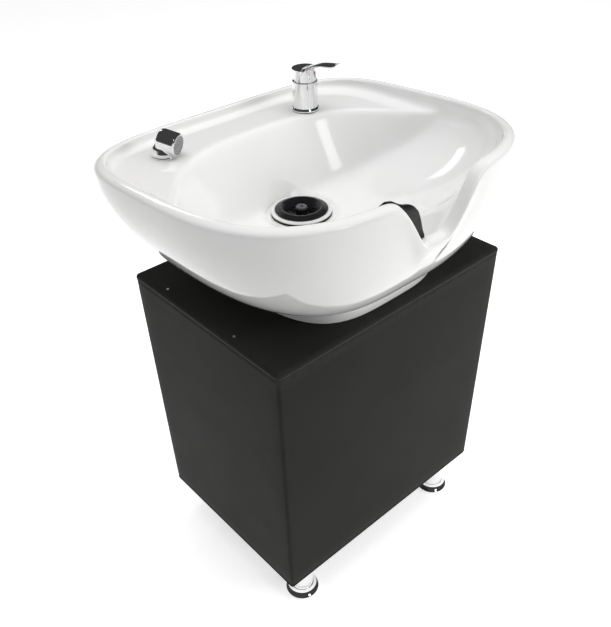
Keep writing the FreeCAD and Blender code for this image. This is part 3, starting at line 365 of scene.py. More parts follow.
def makeHeads():
    # a low dome on a pin at every point: tacks and pan head screws
    tree, given = startPattern("domedHeads", {
        "Head Radius": 0.003, "Head Height": 0.002, "Pin Radius": 0.001, "Pin Length": 0.01, "Turn": 0.0})
    head = addNode(tree, "GeometryNodeMeshUVSphere", {"Segments": 28, "Rings": 14, "Radius": 1.0})
    across = given["Head Radius"]
    flat = addNode(tree, "GeometryNodeTransform", {
        "Geometry": head.outputs["Mesh"],
        "Scale": vectorNode(tree, X=across, Y=across, Z=given["Head Height"])})
    pin = addNode(tree, "GeometryNodeMeshCylinder", {
        "Vertices": 16, "Radius": given["Pin Radius"], "Depth": given["Pin Length"]})
    down = mathNode(tree, "MULTIPLY", given["Pin Length"], -0.5)
    sunk = addNode(tree, "GeometryNodeTransform", {
        "Geometry": pin.outputs["Mesh"], "Translation": vectorNode(tree, Z=down)})
    whole = addNode(tree, "GeometryNodeJoinGeometry", {"Geometry": flat.outputs[0]})
    tree.links.new(sunk.outputs[0], whole.inputs[0])
    return endPattern(tree, given, Points=given["Geometry"], Instance=whole.outputs[0],
                      Rotation=vectorNode(tree, X=given["Turn"]))


def makeStapleRow():
    # staples along a hem, each lying along the edge
    tree, given = startPattern("stapleRow", {"Spacing": 0.03, "Crown": 0.008, "Wire": 0.0004})
    hem = addNode(tree, "GeometryNodeMeshToCurve", {"Mesh": given["Geometry"]})
    row = addNode(tree, "GeometryNodeResampleCurve", {
        "mode": "LENGTH", "Curve": hem.outputs[0], "Length": given["Spacing"]})
    along = addNode(tree, "GeometryNodeInputTangent")
    lay = addNode(tree, "FunctionNodeAlignRotationToVector", {"axis": "Z", "Vector": along.outputs[0]})
    wire = addNode(tree, "GeometryNodeMeshCylinder", {
        "Vertices": 8, "Radius": given["Wire"], "Depth": given["Crown"]})
    return endPattern(tree, given, Points=row.outputs[0], Instance=wire.outputs["Mesh"],
                      Rotation=lay.outputs[0])


# shader groups shared by the materials

def startGroup(name, values):
    tree = bpy.data.node_groups.new(name, "ShaderNodeTree")
    addInputs(tree, values)
    return tree, tree.nodes.new("NodeGroupInput").outputs


def endGroup(tree, label, source, kind="NodeSocketFloat"):
    tree.interface.new_socket(name=label, in_out="OUTPUT", socket_type=kind)
    addNode(tree, "NodeGroupOutput", {label: source})
    return tree


def makeHandling():
    # wiped and touched surfaces: a roughness that wanders between two values
    tree, given = startGroup("handling", {"Scale": 20.0, "Low": 0.05, "High": 0.12})
    cloud = cloudNode(tree, objectPlace(tree), given["Scale"], Detail=4.0, Roughness=0.6)
    return endGroup(tree, "Roughness", rangeNode(tree, cloud["Fac"], 0.35, 0.68, given["Low"], given["High"]))


def makeTint():
    # slow drift between two shades of one colour
    tree, given = startGroup("tint", {"Scale": 5.0, "Light": rgba(1, 1, 1), "Dark": rgba(0, 0, 0)})
    cloud = cloudNode(tree, objectPlace(tree), given["Scale"], Detail=3.0)
    share = rangeNode(tree, cloud["Fac"], 0.35, 0.65, 0.0, 1.0)
    return endGroup(tree, "Color", mixColours(tree, share, given["Dark"], given["Light"]), "NodeSocketColor")


def makeWearAndSheen():
    # edges that were rubbed bare, and along them a painted highlight that stands in for the sheen of the
    # rounded edges, broken up by noise
    tree, given = startGroup("wearAndSheen", {"Reach": 0.06, "Scale": 60.0})
    pointed = addNode(tree, "ShaderNodeNewGeometry").outputs["Pointiness"]
    plain = 0.5  # what Pointiness says of a flat face
    edge = rangeNode(tree, pointed, plain, mathNode(tree, "ADD", given["Reach"], plain), 0.0, 1.0)
    cloud = cloudNode(tree, objectPlace(tree), given["Scale"], Detail=3.0)
    return endGroup(tree, "Mask", mathNode(tree, "MULTIPLY", edge, cloud["Fac"]))


def makeGrain():
    # pebbled skin with fine pores between the pebbles
    tree, given = startGroup("grain", {"Scale": 700.0, "Pores": 0.4})
    at = objectPlace(tree)
    bend = cloudNode(tree, at, 90.0, Detail=2.0)
    push = addNode(tree, "ShaderNodeVectorMath", {"operation": "SCALE", "Scale": 0.004, 0: bend["Color"]})
    spot = addNode(tree, "ShaderNodeVectorMath", {"operation": "ADD", 0: at, 1: push.outputs[0]})
    pebbles = addNode(tree, "ShaderNodeTexVoronoi", {
        "feature": "DISTANCE_TO_EDGE", "Vector": spot.outputs[0], "Scale": given["Scale"]})
    pebble = rangeNode(tree, pebbles.outputs["Distance"], 0.0, 0.28, 0.0, 1.0)
    fine = cloudNode(tree, at, 2600.0, Detail=2.0)
    pores = mathNode(tree, "MULTIPLY", fine["Fac"], given["Pores"])
    return endGroup(tree, "Height", mathNode(tree, "ADD", pebble, pores))


def rgba(red, green, blue):
    return (float(red), float(green), float(blue), 1.0)


handling, tint, wearAndSheen, grain = makeHandling(), makeTint(), makeWearAndSheen(), makeGrain()


# materials

def startMaterial(name, **plain):
    # plain values go straight onto the shader's own sockets
    material = bpy.data.materials.new(name)
    material.use_nodes = True
    shader = material.node_tree.nodes["Principled BSDF"]
    for key, value in plain.items():
        shader.inputs[key.replace("_", " ")].default_value = value
    return material, material.node_tree, shader


def placeGroup(tree, group, **values):
    return addNode(tree, "ShaderNodeGroup", {"node_tree": group, **values}).outputs[0]


def addColour(tree, shader, source):
    tree.links.new(source, shader.inputs["Base Color"])


def addHandling(tree, shader, scale, low, high):
    rough = placeGroup(tree, handling, Scale=scale, Low=low, High=high)
    tree.links.new(rough, shader.inputs["Roughness"])


def addBump(tree, shader, height, strength, distanceMm):
    bump = addNode(tree, "ShaderNodeBump", {
        "Strength": strength, "Distance": distanceMm * mm, "Height": height})
    tree.links.new(bump.outputs["Normal"], shader.inputs["Normal"])


def glazeFinish():
    material, tree, shader = startMaterial("glaze", IOR=1.5, Coat_Weight=0.6, Coat_Roughness=0.02)
    addColour(tree, shader, placeGroup(tree, tint, Scale=3.0, Light=rgba(0.88, 0.885, 0.88),
                                       Dark=rgba(0.86, 0.855, 0.84)))
    addHandling(tree, shader, 14.0, 0.08, 0.14)
    waves = cloudNode(tree, objectPlace(tree), 26.0, Detail=1.0)
    addBump(tree, shader, waves["Fac"], 0.06, 1.0)
    return material


def leatherFinish():
    material, tree, shader = startMaterial(
        "leatherette", IOR=1.45, Specular_IOR_Level=0.05, Sheen_Weight=0.01, Sheen_Roughness=0.5)
    colour = placeGroup(tree, tint, Scale=5.0, Light=rgba(0.0225, 0.0222, 0.0206),
                        Dark=rgba(0.021, 0.0207, 0.0193))
    # lighter edges on the leatherette: partly rubbed wear, partly a painted highlight standing in for the
    # sheen on the rounded edges
    rubbedAndSheen = placeGroup(tree, wearAndSheen, Reach=0.05, Scale=90.0)
    addColour(tree, shader, mixColours(tree, rubbedAndSheen, colour, rgba(0.05, 0.049, 0.046)))
    addHandling(tree, shader, 9.0, 0.47, 0.52)
    addBump(tree, shader, placeGroup(tree, grain, Scale=620.0, Pores=0.4), 0.35, 0.12)
    return material


def metalFinish(name, colour, low, high, scale=30.0):
    material, tree, shader = startMaterial(name, Metallic=1.0, Base_Color=rgba(*colour))
    addHandling(tree, shader, scale, low, high)
    return material


def mouldedFinish(name, light, dark, low, high, bump=0.08, specular=0.5):
    material, tree, shader = startMaterial(name, IOR=1.47, Specular_IOR_Level=specular)
    addColour(tree, shader, placeGroup(tree, tint, Scale=40.0, Light=rgba(*light), Dark=rgba(*dark)))
    addHandling(tree, shader, 60.0, low, high)
    fine = cloudNode(tree, objectPlace(tree), 1500.0, Detail=2.0)
    addBump(tree, shader, fine["Fac"], bump, 0.05)
    return material


def plyFinish(name, across):
    # plywood: plies stacked along one axis, long fibres along the others
    material, tree, shader = startMaterial(name, IOR=1.4, Specular_IOR_Level=0.25)
    at = objectPlace(tree)
    parts = addNode(tree, "ShaderNodeSeparateXYZ", {"Vector": at})
    stretch = [14.0, 160.0, 160.0] if across == 2 else [160.0, 160.0, 14.0]
    fibres = addNode(tree, "ShaderNodeMapping", {"Vector": at, "Scale": stretch})
    streaks = cloudNode(tree, fibres.outputs["Vector"], 1.0, Detail=6.0, Distortion=0.8)
    waves = mathNode(tree, "SINE", mathNode(tree, "MULTIPLY", parts.outputs[across], 1200.0))
    layer = rangeNode(tree, waves, -0.4, 0.4, 0.0, 0.35)
    base = mixColours(tree, streaks["Fac"], rgba(0.33, 0.2, 0.1), rgba(0.6, 0.43, 0.26))
    addColour(tree, shader, mixColours(tree, layer, base, rgba(0.24, 0.13, 0.06)))
    addHandling(tree, shader, 30.0, 0.55, 0.75)
    addBump(tree, shader, streaks["Fac"], 0.2, 0.3)
    return material


def braidFinish():
    # woven steel over a hose: two crossing families of strands
    material, tree, shader = startMaterial("braid", Metallic=1.0, Base_Color=rgba(0.62, 0.62, 0.63))
    at = objectPlace(tree)
    strands = []
    for sideways in (1.0, -1.0):
        lean = addNode(tree, "ShaderNodeMapping", {
            "Vector": at, "Rotation": (0.6 * sideways, 0.5, 0.785 * sideways)})
        wave = addNode(tree, "ShaderNodeTexWave", {
            "Scale": 260.0, "Distortion": 0.4, "Vector": lean.outputs["Vector"]})
        strands.append(wave.outputs["Fac"])
    weave = mathNode(tree, "MAXIMUM", *strands)
    tree.links.new(rangeNode(tree, weave, 0.0, 1.0, 0.5, 0.28), shader.inputs["Roughness"])
    addBump(tree, shader, weave, 0.6, 0.3)
    return material


glaze, leatherette, braid = glazeFinish(), leatherFinish(), braidFinish()
chrome = metalFinish("chrome", (0.86, 0.86, 0.87), 0.03, 0.08)
zinc = metalFinish("zinc", (0.6, 0.6, 0.6), 0.25, 0.42, 120.0)
brass = metalFinish("brass", (0.72, 0.53, 0.25), 0.2, 0.35, 90.0)
blackRubber = mouldedFinish("blackRubber", (0.008, 0.0085, 0.0095), (0.006, 0.0065, 0.0075), 0.42, 0.55,
                            0.2, 0.3)
blackPlastic = mouldedFinish("blackPlastic", (0.011, 0.011, 0.013), (0.008, 0.008, 0.009), 0.24, 0.36)
whitePlastic = mouldedFinish("whitePlastic", (0.8, 0.8, 0.79), (0.76, 0.76, 0.75), 0.2, 0.3)
greyPlastic = mouldedFinish("greyPlastic", (0.1, 0.102, 0.105), (0.075, 0.077, 0.08), 0.4, 0.55)
paleRubber = mouldedFinish("paleRubber", (0.42, 0.43, 0.46), (0.36, 0.37, 0.4), 0.35, 0.5)
sealedBoard = mouldedFinish("sealedBoard", (0.03, 0.028, 0.026), (0.02, 0.019, 0.018), 0.55, 0.7,
                            0.2, 0.2)
redDot = mouldedFinish("redDot", (0.55, 0.07, 0.1), (0.45, 0.05, 0.08), 0.2, 0.3)
plies = [plyFinish("plywood%d" % axis, axis) for axis in range(3)]
ribRing, nozzleField = makeRibRing(), makeNozzleField(4)
domedHeads, stapleRow = makeHeads(), makeStapleRow()
print("materials ready:", len(bpy.data.materials))


# basin: one radial section after another round the drain

basin = {  # millimetres, heights from the top of the pedestal
    "halfWidth": 315, "backReach": 242, "frontReach": 312.5,
    "backRound": 4.1, "frontRound": 3.1,
    "ringHalfWidth": 172, "ringBack": 108, "ringFront": 226, "ringHeight": 26,
    "ringBackRound": 2.5, "ringFrontRound": 3.5, "ringStep": 3, "ringSoft": 2.5,
    "wallAcross": 1.69, "wallDown": 2.06,
    "rimBack": 209, "rimFront": 236, "rollHeight": 10, "rollWidth": 16, "rimEdge": 5,
    "floorHeight": 82, "recessRadius": 74, "seatRadius": 60, "recessDepth": 4, "drainBore": 45,
    "china": 14, "chinaAcross": 0.7, "underGap": 6, "bowlAcross": 1.75, "bowlDown": 1.75,
    "notchDepth": 86, "notchHalf": 128, "notchFlat": 17, "notchLip": 7, "notchLipDrop": 30,
    "notchPower": 2,
    "terraceHeight": 195, "terraceFront": 168, "terraceSweep": 80, "terraceHalf": 219,
    "terraceEdge": 3.5, "terraceBlend": 9, "terraceSlope": 1.7, "terracePower": 3,
    "deckHole": 17.5, "drillLong": 60,
    "turns": 400, "notchCrowding": 0.6,
    "wallRows": 34, "rollRows": 10, "bowlRows": 150, "underRows": 14, "fineRows": 240, "backRows": 8,
    "footFlare": 0.6, "footWaist": 0.8, "footWaistDrop": 5, "footNeck": 0.4, "footNeckDrop": 0.5,
    "seatSlope": 3, "drainEdge": 1.2, "halvings": 24, "sharpAngle": 50,
}
drainMm, midMm, topMm = drainY / mm, midY / mm, boxTop / mm


def ovalReach(angle, half, back, front, backPower, frontPower):
    c, n = abs(math.cos(angle)), math.sin(angle)
    reach, power = (back, backPower) if n >= 0 else (front, frontPower)
    return ((c / half) ** power + (abs(n) / reach) ** power) ** (-1 / power)


def easedAbove(height, blend):
    # the height where it is above 0, with a soft turn to 0 below; far above, the two are the same
    share = height / blend
    return height if share > 40 else blend * math.log(1 + math.exp(share))


def evenly(pairs, count):
    run = [0.0]
    for a, b in zip(pairs, pairs[1:]):
        run.append(run[-1] + math.dist(a, b))
    found, at = [], 0
    for i in range(count):
        want = run[-1] * i / (count - 1)
        while at < len(run) - 2 and run[at + 1] < want:
            at += 1
        share = (want - run[at]) / max(run[at + 1] - run[at], 1e-9)
        found.append(tuple(a + (b - a) * share for a, b in zip(pairs[at], pairs[at + 1])))
    return found


def quarterCurve(a, b, count, upFirst):
    found = []
    for i in range(1, count):
        t = math.pi / 2 * i / count
        across, along = (1 - math.cos(t), math.sin(t)) if upFirst else (math.sin(t), 1 - math.cos(t))
        found.append((a[0] + (b[0] - a[0]) * across, a[1] + (b[1] - a[1]) * along))
    return found


def notchShare(x):
    side = (abs(x) - basin["notchFlat"]) / (basin["notchHalf"] - basin["notchFlat"])
    side = min(max(side, 0.0), 1.0)
    return (0.5 * (1 + math.cos(math.pi * side))) ** basin["notchPower"]


def basinParts(angle):
    b = basin
    reach = ovalReach(angle, b["halfWidth"], b["backReach"], b["frontReach"],
                      b["backRound"], b["frontRound"])
    ring = ovalReach(angle, b["ringHalfWidth"], b["ringBack"], b["ringFront"],
                     b["ringBackRound"], b["ringFrontRound"])
    along = (b["backReach"] - reach * math.sin(angle)) / (b["backReach"] + b["frontReach"])
    rimZ = topMm + b["rimBack"] + (b["rimFront"] - b["rimBack"]) * along
    widest, crease = rimZ - b["rollHeight"], topMm + b["ringHeight"]
    dip = notchShare(reach * math.cos(angle)) if math.sin(angle) < 0 else 0.0
    crest = rimZ - dip * b["notchDepth"]

    def wall(z):
        share = min(max((widest - z) / (widest - crease), 0.0), 1.0)
        return ring + (reach - ring) * (1 - share ** b["wallDown"]) ** (1 / b["wallAcross"])

    lipZ = crest - b["rollHeight"]
    lip = wall(lipZ) + dip * b["notchLip"]
    edge, edgeZ = lip - b["rollWidth"] - b["rimEdge"], crest - b["rimEdge"]

    def bowl(turn):
        rho = b["recessRadius"] + (edge - b["recessRadius"]) * math.cos(turn) ** (2 / b["bowlAcross"])
        z = edgeZ - (edgeZ - topMm - b["floorHeight"]) * math.sin(turn) ** (2 / b["bowlDown"])
        x, y = rho * math.cos(angle), drainMm + rho * math.sin(angle)
        sweep = b["terraceSweep"] * abs(x / b["terraceHalf"]) ** b["terracePower"]
        front = midMm + b["terraceFront"] - sweep
        shelf = topMm + b["terraceHeight"] - b["terraceSlope"] * easedAbove(front - y, b["terraceEdge"])
        return rho, shelf + easedAbove(z - shelf, b["terraceBlend"])

    return dict(ring=ring, crease=crease, wall=wall, lip=lip, lipZ=lipZ, dip=dip, edge=edge,
                edgeZ=edgeZ, crest=crest, bowl=bowl)


def basinLoop(angle):
    # closed section of the china, from the foot ring over the rim to the drain and back underneath
    b, c = basin, basinParts(angle)
    foot = softened([
        (c["ring"] - b["china"], topMm), (c["ring"] + b["footFlare"], topMm),
        (c["ring"] - b["footWaist"], c["crease"] - b["footWaistDrop"]),
        (c["ring"] - b["footNeck"], c["crease"] - b["footNeckDrop"])], b["ringSoft"], 4)
    wall = []
    for i in range(b["wallRows"]):
        z = c["crease"] + (c["lipZ"] - c["crease"]) * math.sin(math.pi / 2 * i / (b["wallRows"] - 1))
        fade = math.exp(-((c["lipZ"] - z) / b["notchLipDrop"]) ** 2)
        wall.append((c["wall"](z) + c["dip"] * b["notchLip"] * fade, z))
    wall[0] = (c["ring"] + b["ringStep"], c["crease"])
    crest, edge = (c["lip"] - b["rollWidth"], c["crest"]), (c["edge"], c["edgeZ"])
    over = wall + quarterCurve(wall[-1], crest, b["rollRows"], True)
    inside = [crest] + quarterCurve(crest, edge, b["rollRows"], False)
    inside += [c["bowl"](math.pi / 2 * i / b["fineRows"]) for i in range(b["fineRows"] + 1)]
    inside = evenly(inside, b["bowlRows"])
    seatZ = topMm + b["floorHeight"] - b["recessDepth"]
    rest = softened([inside[-1], (b["seatRadius"] + b["seatSlope"], seatZ), (b["drainBore"], seatZ),
                     (b["drainBore"], seatZ - b["china"])], b["drainEdge"], 3)[1:]

    def under(turn):
        rho, z = c["bowl"](turn)
        return rho + b["china"] * b["chinaAcross"], z - b["china"]
    # the bowl's underside ends where it comes close to the wall's inner side, found by halving
    high, lowest = 0.0, math.pi / 2
    for _ in range(b["halvings"]):
        turn = (high + lowest) / 2
        rho, z = under(turn)
        if c["wall"](z) - b["china"] - rho < b["underGap"]:
            high = turn
        else:
            lowest = turn
    below = [under(math.pi / 2 + (lowest - math.pi / 2) * i / b["fineRows"])
             for i in range(b["fineRows"] + 1)]
    below = evenly(below, b["underRows"])
    top = below[-1][1]
    back = []
    for i in range(b["backRows"]):
        z = top + (c["crease"] - top) * i / (b["backRows"] - 1)
        back.append((c["wall"](z) - b["china"], z))
    back[-1] = (c["ring"] - b["china"], c["crease"])
    return foot + over + inside + rest + below + back


def makeBasin():
    b, points, faces = basin, [], []
    for turn in range(b["turns"]):
        u = turn / b["turns"]
        swing = 2 * math.pi * u - b["notchCrowding"] * math.sin(2 * math.pi * u)
        angle = -math.pi / 2 + swing
        loop = basinLoop(angle)
        for rho, z in loop:
            points.append((rho * math.cos(angle) * mm, (drainMm + rho * math.sin(angle)) * mm, z * mm))
    rows = len(loop)
    for turn in range(b["turns"]):
        here, there = turn * rows, (turn + 1) % b["turns"] * rows
        for i in range(rows):
            j = (i + 1) % rows
            faces.append((here + i, there + i, there + j, here + j))
    return meshPiece("basin_casting", points, faces, b["sharpAngle"])


def drillDeck(piece):
    # the holes in the terrace for the mixer's shank and the spray's seat
    z, half, out = topMm + basin["terraceHeight"], basin["drillLong"] / 2, basin["deckHole"]
    line = [(0, z - half), (out, z - half), (out, z + half), (0, z + half)]
    for at in (mixerAt, sprayAt):
        drill = lathe("drill", line, Vector((at.x, at.y, 0)), steps=64)
        cut = piece.modifiers.new("drill", "BOOLEAN")
        cut.object = drill
        cut.solver = "EXACT"
        applyModifiers(piece)
        bpy.data.objects.remove(drill)
    shadeSharp(piece.data, basin["sharpAngle"])
    return piece


settle(drillDeck(makeBasin()), "root", "glaze", glaze, "basin_bowl")
print("basin done")


# pedestal cover: padded leatherette round the walls and over the top

cover = {  # millimetres
    "cornerMm": 6, "padMm": 1.1, "waveMm": 0.35, "waveScale": 7, "rowsMm": 14, "fadeMm": 30,
    "thickMm": 5.6, "cornerSteps": 8, "stepMm": 14, "holeMm": 100, "holeBackMm": 36, "sharpAngle": 60,
    "turnUnder": 1.2, "turnInset": 2.5, "bendInset": 0.8, "cornerShare": 0.03, "swellRise": 12,
    "edgeMm": 7, "skirtMm": 3.5, "standMm": 0.7, "edgeSteps": 10,
    "skirtInset": 1.5, "skirtTurn": 0.4, "skirtStand": 0.6, "lidGap": 0.2,
    "lidShares": (0.08, 0.2, 0.35, 0.5, 0.65, 0.8, 0.92, 1.0), "lidWaveStep": 200,
    "hatchWide": 380, "hatchSill": 130, "hatchDrop": 90, "hatchRound": 3, "hatchRoundSteps": 4,
    "revealThick": 0.9, "revealFlare": 1.2, "revealRows": (22, 1, 0.2), "backSkin": 3,
    "hemWide": 9, "hemThick": 0.9, "hemInset": 3,
    "stapleIn": 5.5, "stapleStep": 42, "stapleCrown": 8, "stapleWire": 0.45,
}
hatchLow, hatchHigh = wrapLow.z / mm + cover["hatchSill"], boxTop / mm - cover["hatchDrop"]


def roundedOutline(inset):
    # counter-clockwise from the corner at -X and +Y, each corner followed by a straight run
    low, high = wrapLow / mm, wrapHigh / mm
    radius = max(cover["cornerMm"] - inset, 1.0)
    x0, x1, y0, y1 = low.x + inset, high.x - inset, low.y + inset, high.y - inset
    centres = [(x0 + radius, y1 - radius, 90), (x0 + radius, y0 + radius, 180),
               (x1 - radius, y0 + radius, 270), (x1 - radius, y1 - radius, 0)]
    corners = []
    for cx, cy, start in centres:
        angles = [math.radians(start + 90 * step / cover["cornerSteps"])
                  for step in range(cover["cornerSteps"] + 1)]
        corners.append([(cx + radius * math.cos(a), cy + radius * math.sin(a)) for a in angles])
    runs = max(int(math.dist((low.x, low.y), (high.x, high.y)) / 2 / cover["stepMm"]), 4)
    line = []
    for index, corner in enumerate(corners):
        a, b = corner[-1], corners[(index + 1) % 4][0]
        line += corner
        for step in range(1, runs):
            share = step / runs
            line.append((a[0] + (b[0] - a[0]) * share, a[1] + (b[1] - a[1]) * share))
    return line


def swollen(point, outward, strength):
    # the foam swells a little between the edges, and the skin lies a little unevenly over it
    wave = noise.noise(Vector(point) * mm * cover["waveScale"]) * cover["waveMm"]
    return Vector(point) + outward * (cover["padMm"] + wave) * strength


def cutHatch(mesh):
    # splits the back wall along the four sides of the hatch and takes out what lies between
    halfWide = cover["hatchWide"] / 2
    work = bmesh.new()
    work.from_mesh(mesh)

    def behind():
        return [f for f in work.faces if f.calc_center_median().y > wrapHigh.y - cover["backSkin"] * mm]
    for point, normal in (((-halfWide, 0, 0), (1, 0, 0)), ((halfWide, 0, 0), (1, 0, 0)),
                          ((0, 0, hatchLow), (0, 0, 1)), ((0, 0, hatchHigh), (0, 0, 1))):
        faces = behind()
        parts = faces + list({e for f in faces for e in f.edges})
        parts += list({v for f in faces for v in f.verts})
        bmesh.ops.bisect_plane(work, geom=parts, plane_co=Vector(point) * mm, plane_no=normal)
    taken = []
    for face in behind():
        at = face.calc_center_median() / mm
        if abs(at.x) < halfWide and hatchLow < at.z < hatchHigh:
            taken.append(face)
    bmesh.ops.delete(work, geom=taken, context="FACES")
    work.to_mesh(mesh)
    work.free()


def makeWalls():
    zLow, zHigh = wrapLow.z / mm, wrapHigh.z / mm
    rows = max(int((zHigh - zLow) / cover["rowsMm"]), 4)
    under = cover["turnUnder"]
    heights = [zLow + under, zLow]
    heights += [zLow + under + (zHigh - zLow - under) * i / rows for i in range(1, rows + 1)]
    insets = [cover["turnInset"], cover["bendInset"]] + [0.0] * rows
    halfX, halfY = wrapHigh.x / mm, (wrapHigh.y - wrapLow.y) / 2 / mm
    points = []
    for z, inset in zip(heights, insets):
        line = roundedOutline(inset)
        for x, y in line:
            sideX, sideY = 1 - abs(x) / halfX, 1 - abs(y - midMm) / halfY
            flat = min(sideX, sideY) < cover["cornerShare"]
            fade = min((z - zLow) / cover["fadeMm"], (zHigh - z) / cover["fadeMm"] + 0.1, 1.0)
            edge = min(max(sideX, sideY) * cover["swellRise"], 1.0) * fade
            outward = Vector((math.copysign(1, x), 0, 0))
            if sideX >= sideY:
                outward = Vector((0, math.copysign(1, y - midMm), 0))
            points.append(swollen((x, y, z), outward, max(edge, 0.0) if flat else 0.0) * mm)
    faces = bandFaces(len(heights), len(line))
    piece = meshPiece("leather_walls", points, faces, cover["sharpAngle"])
    cutHatch(piece.data)
    return thicken(piece, cover["thickMm"], -1)


def makeReveal():
    # the leatherette turned in round the hatch, over the cut edge of the board
    outer, hatchMiddle = wrapHigh.y / mm, (hatchLow + hatchHigh) / 2
    halfWide, radius, steps = cover["hatchWide"] / 2, cover["hatchRound"], cover["hatchRoundSteps"]
    line = []
    for cx, cz, start in ((halfWide, hatchHigh, 0), (-halfWide, hatchHigh, 90),
                          (-halfWide, hatchLow, 180), (halfWide, hatchLow, 270)):
        x, z = cx - math.copysign(radius, cx), cz - math.copysign(radius, cz - hatchMiddle)
        for step in range(steps + 1):
            angle = math.radians(start + 90 * step / steps)
            line.append((x + radius * math.cos(angle), z + radius * math.sin(angle)))
    points = []
    for deep in cover["revealRows"]:
        grow = cover["revealFlare"] if deep < 0.5 else 0.0
        for x, z in line:
            points.append(Vector((x + math.copysign(grow, x), outer - deep,
                                  z + math.copysign(grow, z - hatchMiddle))) * mm)
    faces = bandFaces(len(cover["revealRows"]), len(line))
    return thicken(meshPiece("hatch_reveal", points, faces, cover["sharpAngle"]), cover["revealThick"], 1)


def loopPiece(name, loops):
    # a closed shell over loops of points in millimetres, the last joined to the first
    points = [Vector(p) * mm for loop in loops for p in loop]
    return meshPiece(name, points, bandFaces(len(loops), len(loops[0]), True), cover["sharpAngle"])


def makeHem():
    # the leatherette turned under the bottom board
    high = wrapLow.z / mm
    low, wide = high - cover["hemThick"], cover["hemWide"]
    section = ((cover["turnInset"], high), (cover["hemInset"], low), (wide, low), (wide, high))
    return loopPiece("leather_hem", [[(x, y, z) for x, y in roundedOutline(inset)] for inset, z in section])


def makeLid():
    # loops from the skirt's turned edge up its side and over the top to the pipe hole, then back underneath
    zTop, edge, stand = boxTop / mm, cover["edgeMm"], cover["standMm"]
    zLow = zTop - edge - cover["skirtMm"]
    hole = (0.0, midMm + cover["holeBackMm"])
    outer = [(cover["skirtInset"], zLow + cover["skirtTurn"]), (-stand * cover["skirtStand"], zLow)]
    for step in range(cover["edgeSteps"] + 1):
        angle = math.pi / 2 * step / cover["edgeSteps"]
        outer.append((edge * (1 - math.cos(angle)) - stand, zTop - edge * (1 - math.sin(angle))))
    loops = [[(x, y, z) for x, y in roundedOutline(inset)] for inset, z in outer]
    base = loops[-1]
    for share in cover["lidShares"]:
        loop = []
        for x, y, z in base:
            away = Vector((x - hole[0], y - hole[1]))
            at = away.lerp(away.normalized() * cover["holeMm"], share)
            wave = noise.noise(Vector((x, y, share * cover["lidWaveStep"])) * mm * cover["waveScale"])
            rise = wave * cover["waveMm"] * 0.5 if share < 1 else 0.0
            loop.append((hole[0] + at.x, hole[1] + at.y, zTop + rise))
        loops.append(loop)
    under = floorOf("cover_lid") / mm + cover["lidGap"]
    loops.append([(x, y, under) for x, y, z in loops[-1]])
    loops.append([(x, y, under) for x, y in roundedOutline(cover["skirtInset"])])
    return loopPiece("leather_lid", loops)


walls = settle(makeWalls(), "root", "leatherette", leatherette, "cover_wrap")
lid = settle(makeLid(), "root", "leatherette", leatherette, "cover_lid")
settle(makeReveal(), "root", "leatherette", leatherette)
settle(makeHem(), "root", "leatherette", leatherette)
hemLine = [(x * mm, y * mm, wrapLow.z - cover["hemThick"] * mm)
           for x, y in roundedOutline(cover["stapleIn"])]
hemEdges = [(i, (i + 1) % len(hemLine)) for i in range(len(hemLine))]
settle(growPattern("hem_staples", stapleRow, {
    "Spacing": cover["stapleStep"] * mm, "Crown": cover["stapleCrown"] * mm,
    "Wire": cover["stapleWire"] * mm}, zinc, points=hemLine, edges=hemEdges), "root", "zinc_screw", zinc)
tacks = {"sideMm": 14, "pitchMm": 190, "places": (-0.4, 0.6), "headMm": 2.6, "riseMm": 1.9,
         "pinMm": 0.7, "pinLong": 13}
tackSpots = [(side * (wrapHigh.x - tacks["sideMm"] * mm), midY + share * tacks["pitchMm"] * mm, boxTop)
             for side in (-1, 1) for share in tacks["places"]]


def headSizes(heads, turn):
    return {"Head Radius": heads["headMm"] * mm, "Head Height": heads["riseMm"] * mm,
            "Pin Radius": heads["pinMm"] * mm, "Pin Length": heads["pinLong"] * mm, "Turn": turn}


settle(growPattern("lid_tacks", domedHeads, headSizes(tacks, 0.0), zinc, points=tackSpots),
       "root", "zinc_screw", zinc, "cover_tacks")
print("cover done")


# feet

foot = {  # millimetres
    "rimMm": 1, "rimHigh": 2.6, "flareFrom": 3.2, "flareGap": 0.5, "flareAcross": 2.2, "flareUp": 1.15,
    "flareSteps": 12, "flareSoft": 0.8, "tubeWallMm": 2, "tubeSoft": 0.4,
}
footPlaces = ("front_left", "front_right", "back_left", "back_right")
for place in footPlaces:
    baseNode, tubeNode = "foot_base_" + place, "foot_tube_" + place
    flare, tube = radiusOf(baseNode), radiusOf(tubeNode)
    rise, high = heightOf(baseNode), heightOf(tubeNode)
    at, rim, low = standOf(baseNode), foot["rimMm"], foot["flareFrom"]
    neck = tube + foot["flareGap"]
    profile = [(0, 0), (flare - rim, 0), (flare, rim), (flare, foot["rimHigh"])]
    for step in range(1, foot["flareSteps"] + 1):
        t = step / foot["flareSteps"]
        out = neck + (flare - neck) * (1 - t) ** foot["flareAcross"]
        profile.append((out, low + (rise - low) * t ** foot["flareUp"]))
    profile.append((0, rise))
    base = lathe("foot_flare_" + place, softened(profile, foot["flareSoft"], 2), at)
    settle(base, "root", "chrome", chrome, baseNode)
    bore = tube - foot["tubeWallMm"]
    wallLine = softened([(bore, 0), (tube, 0), (tube, high), (bore, high)], foot["tubeSoft"], 2, True)
    column = lathe("foot_column_" + place, wallLine, Vector((at.x, at.y, floorOf(tubeNode))), closed=True)
    settle(column, "root", "chrome", chrome, tubeNode)
screws = {"ringMm": 27.5, "headMm": 3.4, "riseMm": 1.6, "pinMm": 1.75, "pinLong": 12, "perPlate": 3}
screwSpots = []
